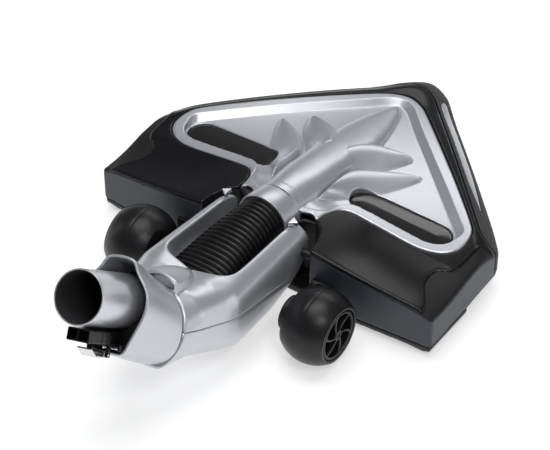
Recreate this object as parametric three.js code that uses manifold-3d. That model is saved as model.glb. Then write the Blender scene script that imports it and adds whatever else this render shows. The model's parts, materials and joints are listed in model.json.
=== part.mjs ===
// Motorised vacuum-cleaner floor head (power nozzle) with a pitching yoke, a swivelling elbow,
// a ribbed air hose and two ball wheels.
// Millimetres, +Z up.  +Y runs towards the nose of the head, -Y towards the wand tube.
// The floor is Z = 0.  The model is laid out about the wheel axle (Y = 0) and then moved
// along Y by AXLE_TO_MID, so that the origin is the middle of the footprint, on the floor.
import * as THREE from 'three';
import { mergeVertices } from 'three/addons/utils/BufferGeometryUtils.js';
import Module from 'manifold-3d';

const wasm = await Module();
wasm.setup();

// ------------------------------------------------------------------ driving dimensions
const AXLE_TO_MID = -55.51;         // moves the whole assembly along Y
const GAP = 0.3;                   // clearance between neighbouring pieces

const HEAD_HALF_WIDTH = 150;       // side walls of the head
const REAR_Y_OUTER = 41.5;         // rear wall at the outer corners
const REAR_Y_NOTCH = 34.4;         // rear wall at the notch for the yoke
const NOTCH_HALF = 48.1;           // half width of that notch
const FRONT_INTERCEPT = 299;       // front edge: y = FRONT_INTERCEPT - FRONT_SLOPE * |x|
const FRONT_SLOPE = 1.08;
const NOSE_RADIUS = 30;
const FRONT_CORNER_RADIUS = 9;
const WALL = 3;                    // moulded wall thickness of the housing
const SOLE_TOP = 10.4;             // the seam between sole frame and housing

const WHEEL_RADIUS = 28.9;         // ball wheel
const WHEEL_X = 79.8;              // centre of each ball
const WHEEL_OUT_X = 98.4;          // outer flat of the ball
const WHEEL_IN_X = 62.2;           // inner flat of the ball
const AXLE_RADIUS = 3;

const PIVOT_Y = 40, PIVOT_Z = 50;  // the yoke pitches about this line, along X
const PIVOT_PIN_RADIUS = 3;

const BRUSH_Y = 118, BRUSH_Z = 20;
const BRUSH_CORE_RADIUS = 12.6;
const BRUSH_TIP_RADIUS = 18.6;
const BRUSH_HALF = 127;            // half length of the roller body
const MOTOR_Y = 66, MOTOR_Z = 29, MOTOR_RADIUS = 15;
const MOTOR_PULLEY_RADIUS = 5.5, BRUSH_PULLEY_RADIUS = 11;

const SWIVEL_PITCH = 40 * Math.PI / 180;     // the elbow turns about this tilted line
const SWIVEL_Y = -100.8, SWIVEL_Z = 63.9;    // its point in the swivel seam
const SWIVEL_RADIUS = 33.2;
const SWIVEL_FLAT = 26;                      // half height of the flattened underside
const ELBOW_TURN = 13 * Math.PI / 180;       // how far the elbow stands turned on the swivel line at rest
const TUBE_RADIUS = 19.2, TUBE_WALL = 1.2;   // aluminium wand stub
const TUBE_OFFSET = 16.2;                      // the stub sits above the swivel line
const TUBE_START = 32, TUBE_END = 90.7;        // along the swivel line, from the seam
const COLLAR_LENGTH = 44.6;

// ------------------------------------------------------------------ small geometry kit
const V3 = (x, y, z) => new THREE.Vector3(x, y, z);

// a closed BufferGeometry as a solid for joining and cutting
function solid(geometry) {
  const g = geometry.index ? geometry.toNonIndexed() : geometry.clone();
  g.deleteAttribute('normal');
  g.deleteAttribute('uv');
  const m = mergeVertices(g, 1e-4);
  const idx = m.index.array, tri = [];
  for (let i = 0; i < idx.length; i += 3) {
    if (idx[i] !== idx[i + 1] && idx[i + 1] !== idx[i + 2] && idx[i] !== idx[i + 2]) {
      tri.push(idx[i], idx[i + 1], idx[i + 2]);
    }
  }
  return new wasm.Manifold(new wasm.Mesh({
    numProp: 3,
    vertProperties: new Float32Array(m.attributes.position.array),
    triVerts: new Uint32Array(tri),
  }));
}

// back to a BufferGeometry with flat faces
function geometryOf(manifold) {
  const mesh = manifold.getMesh();
  const g = new THREE.BufferGeometry();
  const pos = new Float32Array(mesh.numVert * 3);
  for (let i = 0; i < mesh.numVert; i++) {
    for (let k = 0; k < 3; k++) pos[3 * i + k] = mesh.vertProperties[i * mesh.numProp + k];
  }
  g.setAttribute('position', new THREE.BufferAttribute(pos, 3));
  g.setIndex(new THREE.BufferAttribute(new Uint32Array(mesh.triVerts), 1));
  g.computeVertexNormals();
  return g;
}

function join(...parts) { return parts.reduce((a, b) => a.add(b)); }
function cut(a, ...parts) { return parts.reduce((s, b) => s.subtract(b), a); }

// straight prism along Z from a list of [x, y]
function prism(points, z0, z1) {
  const shape = new THREE.Shape(points.map(p => new THREE.Vector2(p[0], p[1])));
  const g = new THREE.ExtrudeGeometry(shape, { depth: z1 - z0, bevelEnabled: false, steps: 1 });
  g.translate(0, 0, z0);
  return solid(g);
}

function box(x0, x1, y0, y1, z0, z1) {
  const g = new THREE.BoxGeometry(x1 - x0, y1 - y0, z1 - z0);
  g.translate((x0 + x1) / 2, (y0 + y1) / 2, (z0 + z1) / 2);
  return solid(g);
}

// cylinder or cone from point a to point b
function rod(a, b, r0, r1 = r0, segments = 24) {
  const dir = b.clone().sub(a), len = dir.length();
  const g = new THREE.CylinderGeometry(r1, r0, len, segments, 1);
  g.translate(0, len / 2, 0);
  g.applyQuaternion(new THREE.Quaternion().setFromUnitVectors(V3(0, 1, 0), dir.normalize()));
  g.translate(a.x, a.y, a.z);
  return solid(g);
}
const rodX = (x0, x1, y, z, r, s = 24) => rod(V3(Math.min(x0, x1), y, z), V3(Math.max(x0, x1), y, z), r, r, s);
const rodZ = (x, y, z0, z1, r, s = 24) => rod(V3(x, y, z0), V3(x, y, z1), r, r, s);

// profile [r, h] turned about the X axis through (y, z); h runs along +X
function turnedX(profile, y, z, segments = 32) {
  const g = new THREE.LatheGeometry(profile.map(p => new THREE.Vector2(p[0], p[1])), segments);
  g.rotateZ(-Math.PI / 2);
  g.translate(0, y, z);
  return solid(g);
}

// skin through a list of rings with equal point counts, ends closed about their centres
function loft(rings) {
  const n = rings[0].length, pos = [], idx = [];
  for (const r of rings) for (const p of r) pos.push(p.x, p.y, p.z);
  const centre = r => r.reduce((a, p) => a.add(p), V3(0, 0, 0)).divideScalar(n);
  const first = centre(rings[0]), last = centre(rings[rings.length - 1]);
  pos.push(first.x, first.y, first.z, last.x, last.y, last.z);
  const c0 = rings.length * n, c1 = c0 + 1;
  for (let i = 0; i + 1 < rings.length; i++) {
    for (let j = 0; j < n; j++) {
      const a = i * n + j, b = i * n + (j + 1) % n, c = a + n, d = b + n;
      idx.push(a, b, d, a, d, c);
    }
  }
  for (let j = 0; j < n; j++) {
    idx.push(c0, (j + 1) % n, j);
    idx.push(c1, (rings.length - 1) * n + j, (rings.length - 1) * n + (j + 1) % n);
  }
  const g = new THREE.BufferGeometry();
  g.setAttribute('position', new THREE.Float32BufferAttribute(pos, 3));
  g.setIndex(idx);
  let s = solid(g);
  if (s.volume() < 0) {
    for (let i = 0; i < idx.length; i += 3) [idx[i], idx[i + 1]] = [idx[i + 1], idx[i]];
    g.setIndex(idx);
    s = solid(g);
  }
  return s;
}

// the block between two height functions on a grid of x and y lines
function heightBlock(low, high, xs, ys) {
  const nx = xs.length, ny = ys.length, pos = [], idx = [];
  for (const f of [low, high]) for (const y of ys) for (const x of xs) pos.push(x, y, f(x, y));
  const at = (layer, i, j) => layer * nx * ny + j * nx + i;
  const quad = (a, b, c, d) => idx.push(a, b, c, a, c, d);
  for (let j = 0; j + 1 < ny; j++) {
    for (let i = 0; i + 1 < nx; i++) {
      quad(at(1, i, j), at(1, i + 1, j), at(1, i + 1, j + 1), at(1, i, j + 1));
      quad(at(0, i, j), at(0, i, j + 1), at(0, i + 1, j + 1), at(0, i + 1, j));
    }
  }
  for (let i = 0; i + 1 < nx; i++) {
    quad(at(0, i, 0), at(0, i + 1, 0), at(1, i + 1, 0), at(1, i, 0));
    quad(at(0, i + 1, ny - 1), at(0, i, ny - 1), at(1, i, ny - 1), at(1, i + 1, ny - 1));
  }
  for (let j = 0; j + 1 < ny; j++) {
    quad(at(0, 0, j + 1), at(0, 0, j), at(1, 0, j), at(1, 0, j + 1));
    quad(at(0, nx - 1, j), at(0, nx - 1, j + 1), at(1, nx - 1, j + 1), at(1, nx - 1, j));
  }
  const g = new THREE.BufferGeometry();
  g.setAttribute('position', new THREE.Float32BufferAttribute(pos, 3));
  g.setIndex(idx);
  return solid(g);
}

function span(a, b, n) { return Array.from({ length: n + 1 }, (_, i) => a + (b - a) * i / n); }
const clamp01 = t => Math.min(1, Math.max(0, t));
const smooth = t => { const u = clamp01(t); return u * u * (3 - 2 * u); };
const mix = (a, b, t) => a + (b - a) * t;

// [x, y] outline given for x >= 0 from the rear to the nose, mirrored into a closed loop
function mirrored(half) {
  const left = half.filter(p => Math.abs(p[0]) > 1e-6).map(p => [-p[0], p[1]]).reverse();
  return half.concat(left);
}

// the same loop moved inwards by d along the corner normals (outlines wind anticlockwise)
function inset(loop, d) {
  const n = loop.length;
  return loop.map((p, i) => {
    const a = loop[(i + n - 1) % n], b = loop[(i + 1) % n];
    const u = [p[0] - a[0], p[1] - a[1]], v = [b[0] - p[0], b[1] - p[1]];
    const lu = Math.hypot(...u) || 1, lv = Math.hypot(...v) || 1;
    const nu = [-u[1] / lu, u[0] / lu], nv = [-v[1] / lv, v[0] / lv];
    let m = [nu[0] + nv[0], nu[1] + nv[1]];
    const lm = Math.hypot(...m) || 1;
    m = [m[0] / lm, m[1] / lm];
    const k = Math.max(0.35, m[0] * nu[0] + m[1] * nu[1]);
    return [p[0] + m[0] * d / k, p[1] + m[1] * d / k];
  });
}

// fillet between two directions in plan, as points
function arc(cx, cy, r, a0, a1, n) {
  return Array.from({ length: n + 1 }, (_, i) => {
    const a = (a0 + (a1 - a0) * i / n) * Math.PI / 180;
    return [cx + r * Math.cos(a), cy + r * Math.sin(a)];
  });
}

// ------------------------------------------------------------------ surfaces of the head
// top surface of the silver plate's rim: it falls to the nose and to both sides
function plateTop(x, y) {
  const a = Math.abs(x);
  return 74.354 - 0.073 * y - 0.3091 * a + 0.0005385 * a * a - 0.0001868 * y * y + 0.0011368 * a * y;
}
const frontAngle = Math.atan(FRONT_SLOPE);
const frontDistance = (x, y) => (FRONT_INTERCEPT - FRONT_SLOPE * Math.abs(x) - y) * Math.cos(frontAngle);
// top surface of the black cover and of the bumper outside the plate
function coverTop(x, y) {
  const f = clamp01((21 - frontDistance(x, y)) / 21), s = clamp01((20 - (HEAD_HALF_WIDTH - Math.abs(x))) / 20);
  const flute = y < 90 && y > 40 ? 2.2 * Math.sin(Math.PI * (y - 40) / 50) * smooth((Math.abs(x) - 52) / 30) : 0;
  return plateTop(x, y) - 12 * Math.pow(f, 1.6) - 4 * s * s - flute;
}

// plan outline of the whole head, half of it, from the notch round to the nose
const phi = 90 - frontAngle * 180 / Math.PI;                 // outward normal of the front edge
const noseCentreY = FRONT_INTERCEPT - NOSE_RADIUS / Math.cos(frontAngle);
const cornerX = HEAD_HALF_WIDTH - FRONT_CORNER_RADIUS;
const cornerY = FRONT_INTERCEPT - FRONT_SLOPE * cornerX - FRONT_CORNER_RADIUS / Math.cos(frontAngle);
const headHalf = [
  [0, 52.5], [23.5, 52.5], [27.5, 60], [34.4, 63.6], [42.2, 56.6], [46.3, 48], [NOTCH_HALF, REAR_Y_NOTCH],
  [HEAD_HALF_WIDTH - 2, REAR_Y_OUTER - 0.14], [HEAD_HALF_WIDTH, REAR_Y_OUTER + 2],
  ...arc(cornerX, cornerY, FRONT_CORNER_RADIUS, 0, phi, 4),
  ...arc(0, noseCentreY, NOSE_RADIUS, phi, 90, 6),
];
const headLoop = mirrored(headHalf);

// silver plate outline
const plateHalf = [
  [0, 64], [25, 64.2], [34.2, 64.0], [34.2, 72], [38.7, 84.5], [44.4, 89.8], [52, 91.4], [77, 91.8], [101, 91.4],
  [111, 92.8], [120.5, 96.5], [128, 102.5], [131.8, 110.5], [131.9, 121], [129.3, 131], [123.8, 138], [110, 152],
  [88, 174], [79.6, 182.2], [53, 208], [28, 232.2], [15.5, 243], [8, 247.3], [0, 248.8],
];
const plateLoop = mirrored(plateHalf);

// edge of the recessed floor inside the plate's rim
const recessHalf = [
  [0, 73], [26, 75], [33, 84], [37, 93], [43, 99.5], [52, 101.3], [101, 101.2], [109, 102], [116.5, 105.5],
  [120.8, 110.5], [121.6, 116], [120.6, 123], [116, 128], [108.8, 134.5], [78.3, 163.6], [44.9, 195.4], [24, 216],
  [10.6, 232], [4, 236], [0, 237],
];

// window outline on side s = +1 or -1
function windowLoop(s, grow = 0) {
  const y0 = 102.6 - grow, y1 = 128.6 + grow, x1 = 119.6 + grow, r = (y1 - y0) / 2;
  const pts = [
    [41 - grow, y0], ...arc(x1 - r, (y0 + y1) / 2, r, -90, 90, 8), [58, 127 + grow], [46, 124.4 + grow],
    [38.6 - grow, 120.4 + grow], [35.6 - grow, 115], [35.6 - grow, 107],
  ];
  return s > 0 ? pts : pts.map(p => [-p[0], p[1]]).reverse();
}

// ------------------------------------------------------------------ scene assembly
const assembly = new THREE.Group();
const body = new THREE.Group();
body.position.set(0, AXLE_TO_MID, 0);
assembly.add(body);

const FINISH = {
  silver: { color: 0xb4b7be, roughness: 0.36, metalness: 0.75 },
  black: { color: 0x1d1d20, roughness: 0.34, metalness: 0.0 },
  grey: { color: 0x3c4048, roughness: 0.5, metalness: 0.0 },
  dark: { color: 0x232327, roughness: 0.6, metalness: 0.0 },
  rubber: { color: 0x101012, roughness: 0.55, metalness: 0.0 },
  soft: { color: 0x39393c, roughness: 0.75, metalness: 0.0 },
  smoke: { color: 0x3a3c42, roughness: 0.12, metalness: 0.0 },
  steel: { color: 0xc8cad0, roughness: 0.25, metalness: 1.0 },
  tube: { color: 0xb9bcc4, roughness: 0.22, metalness: 1.0 },
  brass: { color: 0xb8964a, roughness: 0.3, metalness: 1.0 },
  red: { color: 0xa8231c, roughness: 0.7, metalness: 0.0 },
  board: { color: 0x2f6b3a, roughness: 0.6, metalness: 0.0 },
};
function add(name, manifold, finish) {
  const mesh = new THREE.Mesh(geometryOf(manifold), new THREE.MeshStandardMaterial(FINISH[finish]));
  mesh.name = name;
  body.add(mesh);
  return mesh;
}

// ------------------------------------------------------------------ the head
const gx = [...span(-151, -14, 5), 0, ...span(14, 151, 5)];
const gy = span(30, 288, 10);
const below = f => heightBlock(() => -20, f, gx, gy);
const layer = (lo, hi) => heightBlock(lo, hi, gx, gy);

// the part of the plan that the bumper covers; g widens it for clearance
function bumperRegion(g) {
  const half = [[0, 268.4], [8, 266.8], [17, 260.6], [28, 249.2], [60, 214.6], [100, 171.4], [128, 141.6], [135, 135.2], [152, 131.8], [175, 131.8]]
    .map(p => [p[0], p[1] - 1.4 * g]);
  const left = half.slice(1).map(p => [-p[0], p[1]]).reverse();
  return prism([...left, ...half, [175, 330], [-175, 330]], -10, 130);
}
function bumperShape(g) {
  const core = prism(inset(headLoop, 2.6 + g), 10, 60).intersect(below((x, y) => coverTop(x, y) - 3.2 - g));
  return cut(prism(g ? inset(headLoop, -1) : headLoop, 17 - g, 100), core).intersect(bumperRegion(g));
}
// slim inlay strip on each side of the bumper
function badgeShape(s, g, lo, hi) {
  const at = (x, d) => [s * x, FRONT_INTERCEPT - FRONT_SLOPE * x - d / Math.cos(frontAngle)];
  const pts = [at(20 - g, 9.2 + g), at(21 - g, 5.6 - g), at(70, 4.2 - g), at(119 + g, 5 - g), at(120 + g, 8.2 + g), at(70, 9.4 + g)];
  return prism(s > 0 ? pts.reverse() : pts, -10, 130).intersect(layer((x, y) => coverTop(x, y) - lo, (x, y) => coverTop(x, y) - hi));
}

// housing: a tub with a floor, open on top, with the notch for the yoke
const tubOuter = prism(headLoop, SOLE_TOP + GAP, 90).intersect(below((x, y) => coverTop(x, y) - 3.1));
const tubInner = prism(inset(headLoop, WALL), SOLE_TOP + GAP + 2.6, 120);
const brushSlot = box(-131, 131, BRUSH_Y - 23.6, BRUSH_Y + 23.6, -5, 20);
const collarCut = rod(V3(0, 40, 59.2), V3(0, 70, 59.2), 21.7, 21.7, 32);
let housing = cut(tubOuter, tubInner, brushSlot, collarCut, box(-21.7, 21.7, 40, 58, 59, 100), bumperShape(GAP));
// bosses that carry the pivot pins in the notch walls
for (const s of [1, -1]) housing = housing.add(box(Math.min(s * 48.9, s * 56), Math.max(s * 48.9, s * 56), 36.4, 46, 42, 54.2));
housing = cut(housing, rodX(-70, -40, PIVOT_Y, PIVOT_Z, PIVOT_PIN_RADIUS + 0.1, 20), rodX(40, 70, PIVOT_Y, PIVOT_Z, PIVOT_PIN_RADIUS + 0.1, 20),
  box(114.5, 126.5, 76, 95, 5, 20), prism(inset(plateLoop, -0.4), 10, 120).intersect(layer((x, y) => plateTop(x, y) - 7.4, (x, y) => plateTop(x, y) + 30)));
add('base_housing', housing, 'grey');

// sole frame under the seam, with floor pads at Z = 0 behind and in front of the brush
let sole = prism(inset(headLoop, 0.8), 5.4, SOLE_TOP);
sole = join(sole, box(-144, 144, 46, 87, 0, 6), prism([[-128, 148], [128, 148], [96, 182], [-96, 182]], 0, 6),
  box(-144, -134.5, 86, 112, 0, 6), box(134.5, 144, 86, 112, 0, 6));
sole = cut(sole, brushSlot);
const screwXY = [[-112, 60], [112, 60], [-78, 160], [78, 160]];
for (const [x, y] of screwXY) sole = cut(sole, rodZ(x, y, -1, 3.2, 4.2, 16), rodZ(x, y, -1, 20, 1.9, 12));
add('sole_plate', sole, 'dark');
screwXY.forEach(([x, y], i) => add(`sole_screw_${i + 1}`,
  join(rodZ(x, y, 0.8, 2.9, 3.6, 16), rodZ(x, y, 2.4, SOLE_TOP - 0.2, 1.6, 12)), 'steel'));

// black cover around the plate; the rear edge is open in the middle for the tunnel
let cover = prism(headLoop, 20, 100).intersect(layer((x, y) => coverTop(x, y) - 2.8, coverTop));
cover = cut(cover, prism(inset(plateLoop, -0.4), 10, 120), bumperRegion(GAP), box(-34.9, 34.9, 40, 66, 30, 100));
add('top_cover', cover, 'black');

// soft bumper strip round the two front edges, and its inlays
let bumper = bumperShape(0).intersect(below(coverTop));
for (const s of [1, -1]) bumper = cut(bumper, badgeShape(s, 0.3, 1.3, -5));
add('bumper_strip', bumper, 'soft');
add('badge_right', badgeShape(1, 0, 1.0, -0.1), 'silver');
add('badge_left', badgeShape(-1, 0, 1.0, -0.1), 'silver');

const MOUTH_Y = 44, MOUTH_Z = 59.2;
// air duct from the brush chamber up to the ring
const ductRing = (y, hw, zc, hh, p, d = 0) => {
  const pts = [];
  for (let i = 0; i < 24; i++) {
    const a = 2 * Math.PI * i / 24, c = Math.cos(a), q = Math.sin(a), e = 2 / p;
    pts.push(V3(Math.sign(c) * Math.pow(Math.abs(c), e) * (hw - d), y, zc + Math.sign(q) * Math.pow(Math.abs(q), e) * (hh - d)));
  }
  return pts;
};
const DUCT = [[46.5, 18.7, MOUTH_Z, 18.7, 2], [64.5, 18.7, MOUTH_Z - 0.4, 18.2, 2], [74, 16.8, 52.5, 16.8, 2.2], [84, 22, 38.5, 15, 3], [92.5, 40, 27, 12, 5]];
add('air_duct', cut(loft(DUCT.map(s => ductRing(...s))),
  loft([[45, 18.7, MOUTH_Z, 18.7, 2], ...DUCT.slice(1, 4), [94, 42, 26, 12, 5]].map(s => ductRing(...s, 1.8)))), 'dark');

// silver face plate: raised rim, recessed floor, tunnel and two fingers on each side
const PLATE_DEEP = 5, PLATE_FLOOR = 2;
let plate = prism(plateLoop, 10, 120).intersect(layer((x, y) => plateTop(x, y) - PLATE_DEEP - PLATE_FLOOR, plateTop));
plate = cut(plate, prism(mirrored(recessHalf), 10, 120).intersect(layer((x, y) => plateTop(x, y) - PLATE_DEEP, (x, y) => plateTop(x, y) + 20)));
const tunnelStations = [   // y, half width at the floor, top height
  [64, 21.3, 77], [90, 20.2, 73], [120, 19.3, 68.4], [150, 19.2, 63], [175, 20.6, 57.8], [200, 15.6, 52.8], [220, 10.6, 48.6], [230, 4, 45.4],
];
const tunnelRing = (y, w, top, d) => {
  const base = plateTop(0, y) - PLATE_DEEP - PLATE_FLOOR + 0.4, pts = [];
  for (let i = 0; i <= 10; i++) {
    const a = Math.PI * i / 10;
    pts.push(V3((w - d) * Math.cos(a), y, base - (d ? 8 : 0) + (top - d - base + (d ? 8 : 0)) * Math.pow(Math.sin(a), 0.85)));
  }
  return pts;
};
const tunnel = loft(tunnelStations.map(([y, w, top]) => tunnelRing(y, w, top, 0)));
const tunnelBore = loft([[60, 21.3, 77.4], [90, 20.2, 73], [112, 19.3, 69.5]].map(([y, w, top]) => tunnelRing(y, w, top, 2)));
const finger = stations => loft(stations.map(([x, y, w, h, ux, uy]) => {
  const base = plateTop(x, y) - PLATE_DEEP - 1, pts = [];
  for (let i = 0; i <= 6; i++) {
    const a = Math.PI * i / 6;
    pts.push(V3(x + ux * w * Math.cos(a), y + uy * w * Math.cos(a), base + (h + 1) * Math.sin(a)));
  }
  return pts;
}));
const fingersHalf = [
  [[10, 128, 7, 9, 0.8, -0.6], [18, 146, 9, 7.5, 0.85, -0.53], [28, 158, 9, 5.6, 0.9, -0.43], [38, 169, 7, 3.6, 0.92, -0.4], [45, 178.5, 2, 1.2, 0.92, -0.4]],
  [[15, 84, 6, 11, 0.98, -0.2], [22, 104, 8, 9.2, 0.95, -0.3], [32, 124, 10, 7.2, 0.9, -0.43], [46, 143, 8.5, 4.6, 0.87, -0.5], [61, 162, 2, 1.4, 0.87, -0.5]],
];
plate = plate.add(tunnel);
for (const f of fingersHalf) plate = join(plate, finger(f), finger(f.map(([x, y, w, h, ux, uy]) => [-x, y, w, h, ux, -uy])));
plate = cut(plate, tunnelBore, prism(windowLoop(1, 0.3), 10, 120), prism(windowLoop(-1, 0.3), 10, 120));
add('face_plate', cut(plate, loft([[63, 18.7, MOUTH_Z - 0.3, 18.3, 2], DUCT[1], ...DUCT.slice(2, 4)].map(s => ductRing(...s, -0.5)))), 'silver');
for (const [name, s] of [['window_right', 1], ['window_left', -1]]) {
  add(name, prism(windowLoop(s, 0), 10, 120).intersect(layer((x, y) => plateTop(x, y) - 8.2, (x, y) => plateTop(x, y) - 6.2)), 'smoke');
}

// ring at the tunnel mouth, which holds the front end of the hose
const ringX = (r, y0, y1, z, s = 40) => rod(V3(0, y0, z), V3(0, y1, z), r, r, s);
add('tunnel_ring', cut(ringX(21.3, MOUTH_Y, 63.6, MOUTH_Z, 32), ringX(19.3, MOUTH_Y - 1, 65, MOUTH_Z, 32)), 'silver');

// ------------------------------------------------------------------ brush drive
const brushCore = rodX(-BRUSH_HALF, BRUSH_HALF - 12, BRUSH_Y, BRUSH_Z, BRUSH_CORE_RADIUS, 28);
const brushShaft = rodX(-BRUSH_HALF - 8, BRUSH_HALF + 8, BRUSH_Y, BRUSH_Z, 3, 16);
add('brush_roller', join(brushCore, brushShaft), 'dark');
for (let k = 0; k < 2; k++) {
  const rings = [];
  for (let i = 0; i <= 20; i++) {
    const x = -122 + 234 * i / 20, a = Math.PI * k + Math.PI * 1.5 * Math.abs(i - 10) / 10, r0 = BRUSH_CORE_RADIUS + 1.2, r1 = BRUSH_TIP_RADIUS;
    const pt = (r, da) => V3(x, BRUSH_Y + r * Math.cos(a + da), BRUSH_Z + r * Math.sin(a + da));
    rings.push([pt(r0, -0.16), pt(r1, -0.13), pt(r1, 0.13), pt(r0, 0.16)]);
  }
  add(`bristle_row_${k + 1}`, loft(rings), 'red');
}
add('brush_pulley', cut(rodX(BRUSH_HALF - 11.6, BRUSH_HALF - 1.6, BRUSH_Y, BRUSH_Z, BRUSH_PULLEY_RADIUS, 28), rodX(90, 140, BRUSH_Y, BRUSH_Z, 3.05, 16)), 'dark');
for (const [name, s] of [['brush_bearing_right', 1], ['brush_bearing_left', -1]]) {
  const x0 = s * 131.4, x1 = s * 137;
  add(name, cut(box(Math.min(x0, x1), Math.max(x0, x1), BRUSH_Y - 9, BRUSH_Y + 9, SOLE_TOP + GAP + 3, BRUSH_Z + 9),
    rodX(s * 125, s * 145, BRUSH_Y, BRUSH_Z, 3.1, 16)), 'brass');
}
add('motor', join(rodX(52, 104, MOTOR_Y, MOTOR_Z, MOTOR_RADIUS, 28), rodX(48, 52.1, MOTOR_Y, MOTOR_Z, 6, 16)), 'steel');
add('motor_cradle', cut(box(60, 96, MOTOR_Y - 19, MOTOR_Y + 19, SOLE_TOP + GAP + 2.9, 26), rodX(55, 106, MOTOR_Y, MOTOR_Z, MOTOR_RADIUS + 0.3, 28)), 'dark');
add('motor_shaft', rodX(104.3, 127, MOTOR_Y, MOTOR_Z, 2.5, 16), 'steel');
add('motor_pulley', cut(rodX(BRUSH_HALF - 11.6, BRUSH_HALF - 1.6, MOTOR_Y, MOTOR_Z, MOTOR_PULLEY_RADIUS, 20), rodX(100, 140, MOTOR_Y, MOTOR_Z, 2.53, 16)), 'dark');
// toothed belt: the tangent band round both pulleys
function beltLoop(extra) {
  const dy = MOTOR_Y - BRUSH_Y, dz = MOTOR_Z - BRUSH_Z, d = Math.hypot(dy, dz), base = Math.atan2(dz, dy);
  const r0 = BRUSH_PULLEY_RADIUS + extra, r1 = MOTOR_PULLEY_RADIUS + extra, off = Math.acos((r0 - r1) / d), pts = [];
  for (let i = 0; i <= 12; i++) { const a = base + off + (2 * Math.PI - 2 * off) * i / 12; pts.push([BRUSH_Y + r0 * Math.cos(a), BRUSH_Z + r0 * Math.sin(a)]); }
  for (let i = 0; i <= 8; i++) { const a = base - off + 2 * off * i / 8; pts.push([MOTOR_Y + r1 * Math.cos(a), MOTOR_Z + r1 * Math.sin(a)]); }
  return pts;
}
function prismX(points, x0, x1) {          // points are [y, z]
  const shape = new THREE.Shape(points.map(p => new THREE.Vector2(p[0], p[1])));
  const g = new THREE.ExtrudeGeometry(shape, { depth: x1 - x0, bevelEnabled: false, steps: 1 });
  g.applyMatrix4(new THREE.Matrix4().set(0, 0, 1, x0, 1, 0, 0, 0, 0, 1, 0, 0, 0, 0, 0, 1));
  return solid(g);
}
add('drive_belt', cut(prismX(beltLoop(2.2), 117, 124), prismX(beltLoop(0.35), 110, 130)), 'rubber');
add('circuit_board', box(-104, -52, 50, 84, 24, 25.6), 'board');
add('board_mount', join(box(-104, -52, 50, 52, SOLE_TOP + GAP + 2.9, 23.7), box(-104, -52, 82, 84, SOLE_TOP + GAP + 2.9, 23.7), box(-80, -76, 50, 84, SOLE_TOP + GAP + 2.9, 20)), 'dark');

// ------------------------------------------------------------------ wheels
for (const [side, s] of [['right', 1], ['left', -1]]) {
  const X = x => s * x;
  // bracket: foot on the rear wall, tapering arm down to the axle
  const foot = box(Math.min(X(53.5), X(70)), Math.max(X(53.5), X(70)), 31, 34.3, 14, 36.5);
  const arm = loft([[33, 14.5, 36], [16, 16, 36], [0, 21, 36]].map(([y, z0, z1]) => [V3(X(53.8), y, z0), V3(X(58.6), y, z0), V3(X(58.6), y, z1), V3(X(53.8), y, z1)]));
  const eye = rodX(X(53.8), X(60.6), 0, WHEEL_RADIUS, 13.5, 28);
  add(`wheel_bracket_${side}`, cut(join(foot, arm, eye), rodX(X(50), X(75), 0, WHEEL_RADIUS, AXLE_RADIUS + 0.05, 20)), 'dark');
  add(`wheel_axle_${side}`, rodX(X(54), X(93), 0, WHEEL_RADIUS, AXLE_RADIUS, 20), 'steel');
  // ball tyre, flattened on both sides, with the pocket for the hub
  const R = WHEEL_RADIUS, prof = [];
  const a0 = Math.asin((WHEEL_IN_X - WHEEL_X) / R), a1 = Math.asin((WHEEL_OUT_X - WHEEL_X) / R);
  prof.push([AXLE_RADIUS + 0.05, WHEEL_IN_X]);
  for (let i = 0; i <= 10; i++) { const a = a0 + (a1 - a0) * i / 10; prof.push([R * Math.cos(a), WHEEL_X + R * Math.sin(a)]); }
  prof.push([20, WHEEL_OUT_X], [20, 88], [AXLE_RADIUS + 0.05, 88], [AXLE_RADIUS + 0.05, WHEEL_IN_X]);
  const ball = turnedX(prof, 0, WHEEL_RADIUS, 26);
  const flip = m => s > 0 ? m : solid(geometryOf(m).clone().applyMatrix4(new THREE.Matrix4().makeRotationZ(Math.PI)));
  add(`wheel_ball_${side}`, flip(ball), 'rubber');
  // hub with six openings between its spokes
  let hub = rodX(88.4, WHEEL_OUT_X - 0.4, 0, WHEEL_RADIUS, 19.6, 26);
  for (let i = 0; i < 6; i++) {
    const a = i * Math.PI / 3, c = Math.cos(a), q = Math.sin(a);
    hub = cut(hub, rodX(92, 100, 12.3 * c, WHEEL_RADIUS + 12.3 * q, 4.6, 10));
  }
  hub = cut(hub, rodX(80, 94.5, 0, WHEEL_RADIUS, AXLE_RADIUS + 0.05, 20));
  add(`wheel_hub_${side}`, flip(hub), 'dark');
}

// ------------------------------------------------------------------ yoke (pitches about the pivot line)
const AX = V3(0, -Math.cos(SWIVEL_PITCH), Math.sin(SWIVEL_PITCH));
const UP = V3(0, Math.sin(SWIVEL_PITCH), Math.cos(SWIVEL_PITCH));
const ORIGIN = V3(0, SWIVEL_Y, SWIVEL_Z);
const swivel = (x, v, s) => ORIGIN.clone().add(V3(x, 0, 0)).addScaledVector(UP, v).addScaledVector(AX, s);
// the same point on the elbow, which stands turned by ELBOW_TURN
const COS_TURN = Math.cos(ELBOW_TURN), SIN_TURN = Math.sin(ELBOW_TURN);
const turned = (x, v, s) => swivel(x * COS_TURN - v * SIN_TURN, x * SIN_TURN + v * COS_TURN, s);
// round above, flattened below
function dee(a, r = SWIVEL_RADIUS, b = SWIVEL_FLAT) {
  const c = Math.cos(a), q = Math.sin(a), e = 2 / 2.6;
  return q >= 0 ? [r * c, r * q] : [Math.sign(c) * Math.pow(Math.abs(c), e) * r, -Math.pow(-q, e) * b];
}
const deeRing = (r, b, s, n = 24) => Array.from({ length: n }, (_, i) => { const p = dee(2 * Math.PI * i / n, r, b); return swivel(p[0], p[1], s); });

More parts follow.
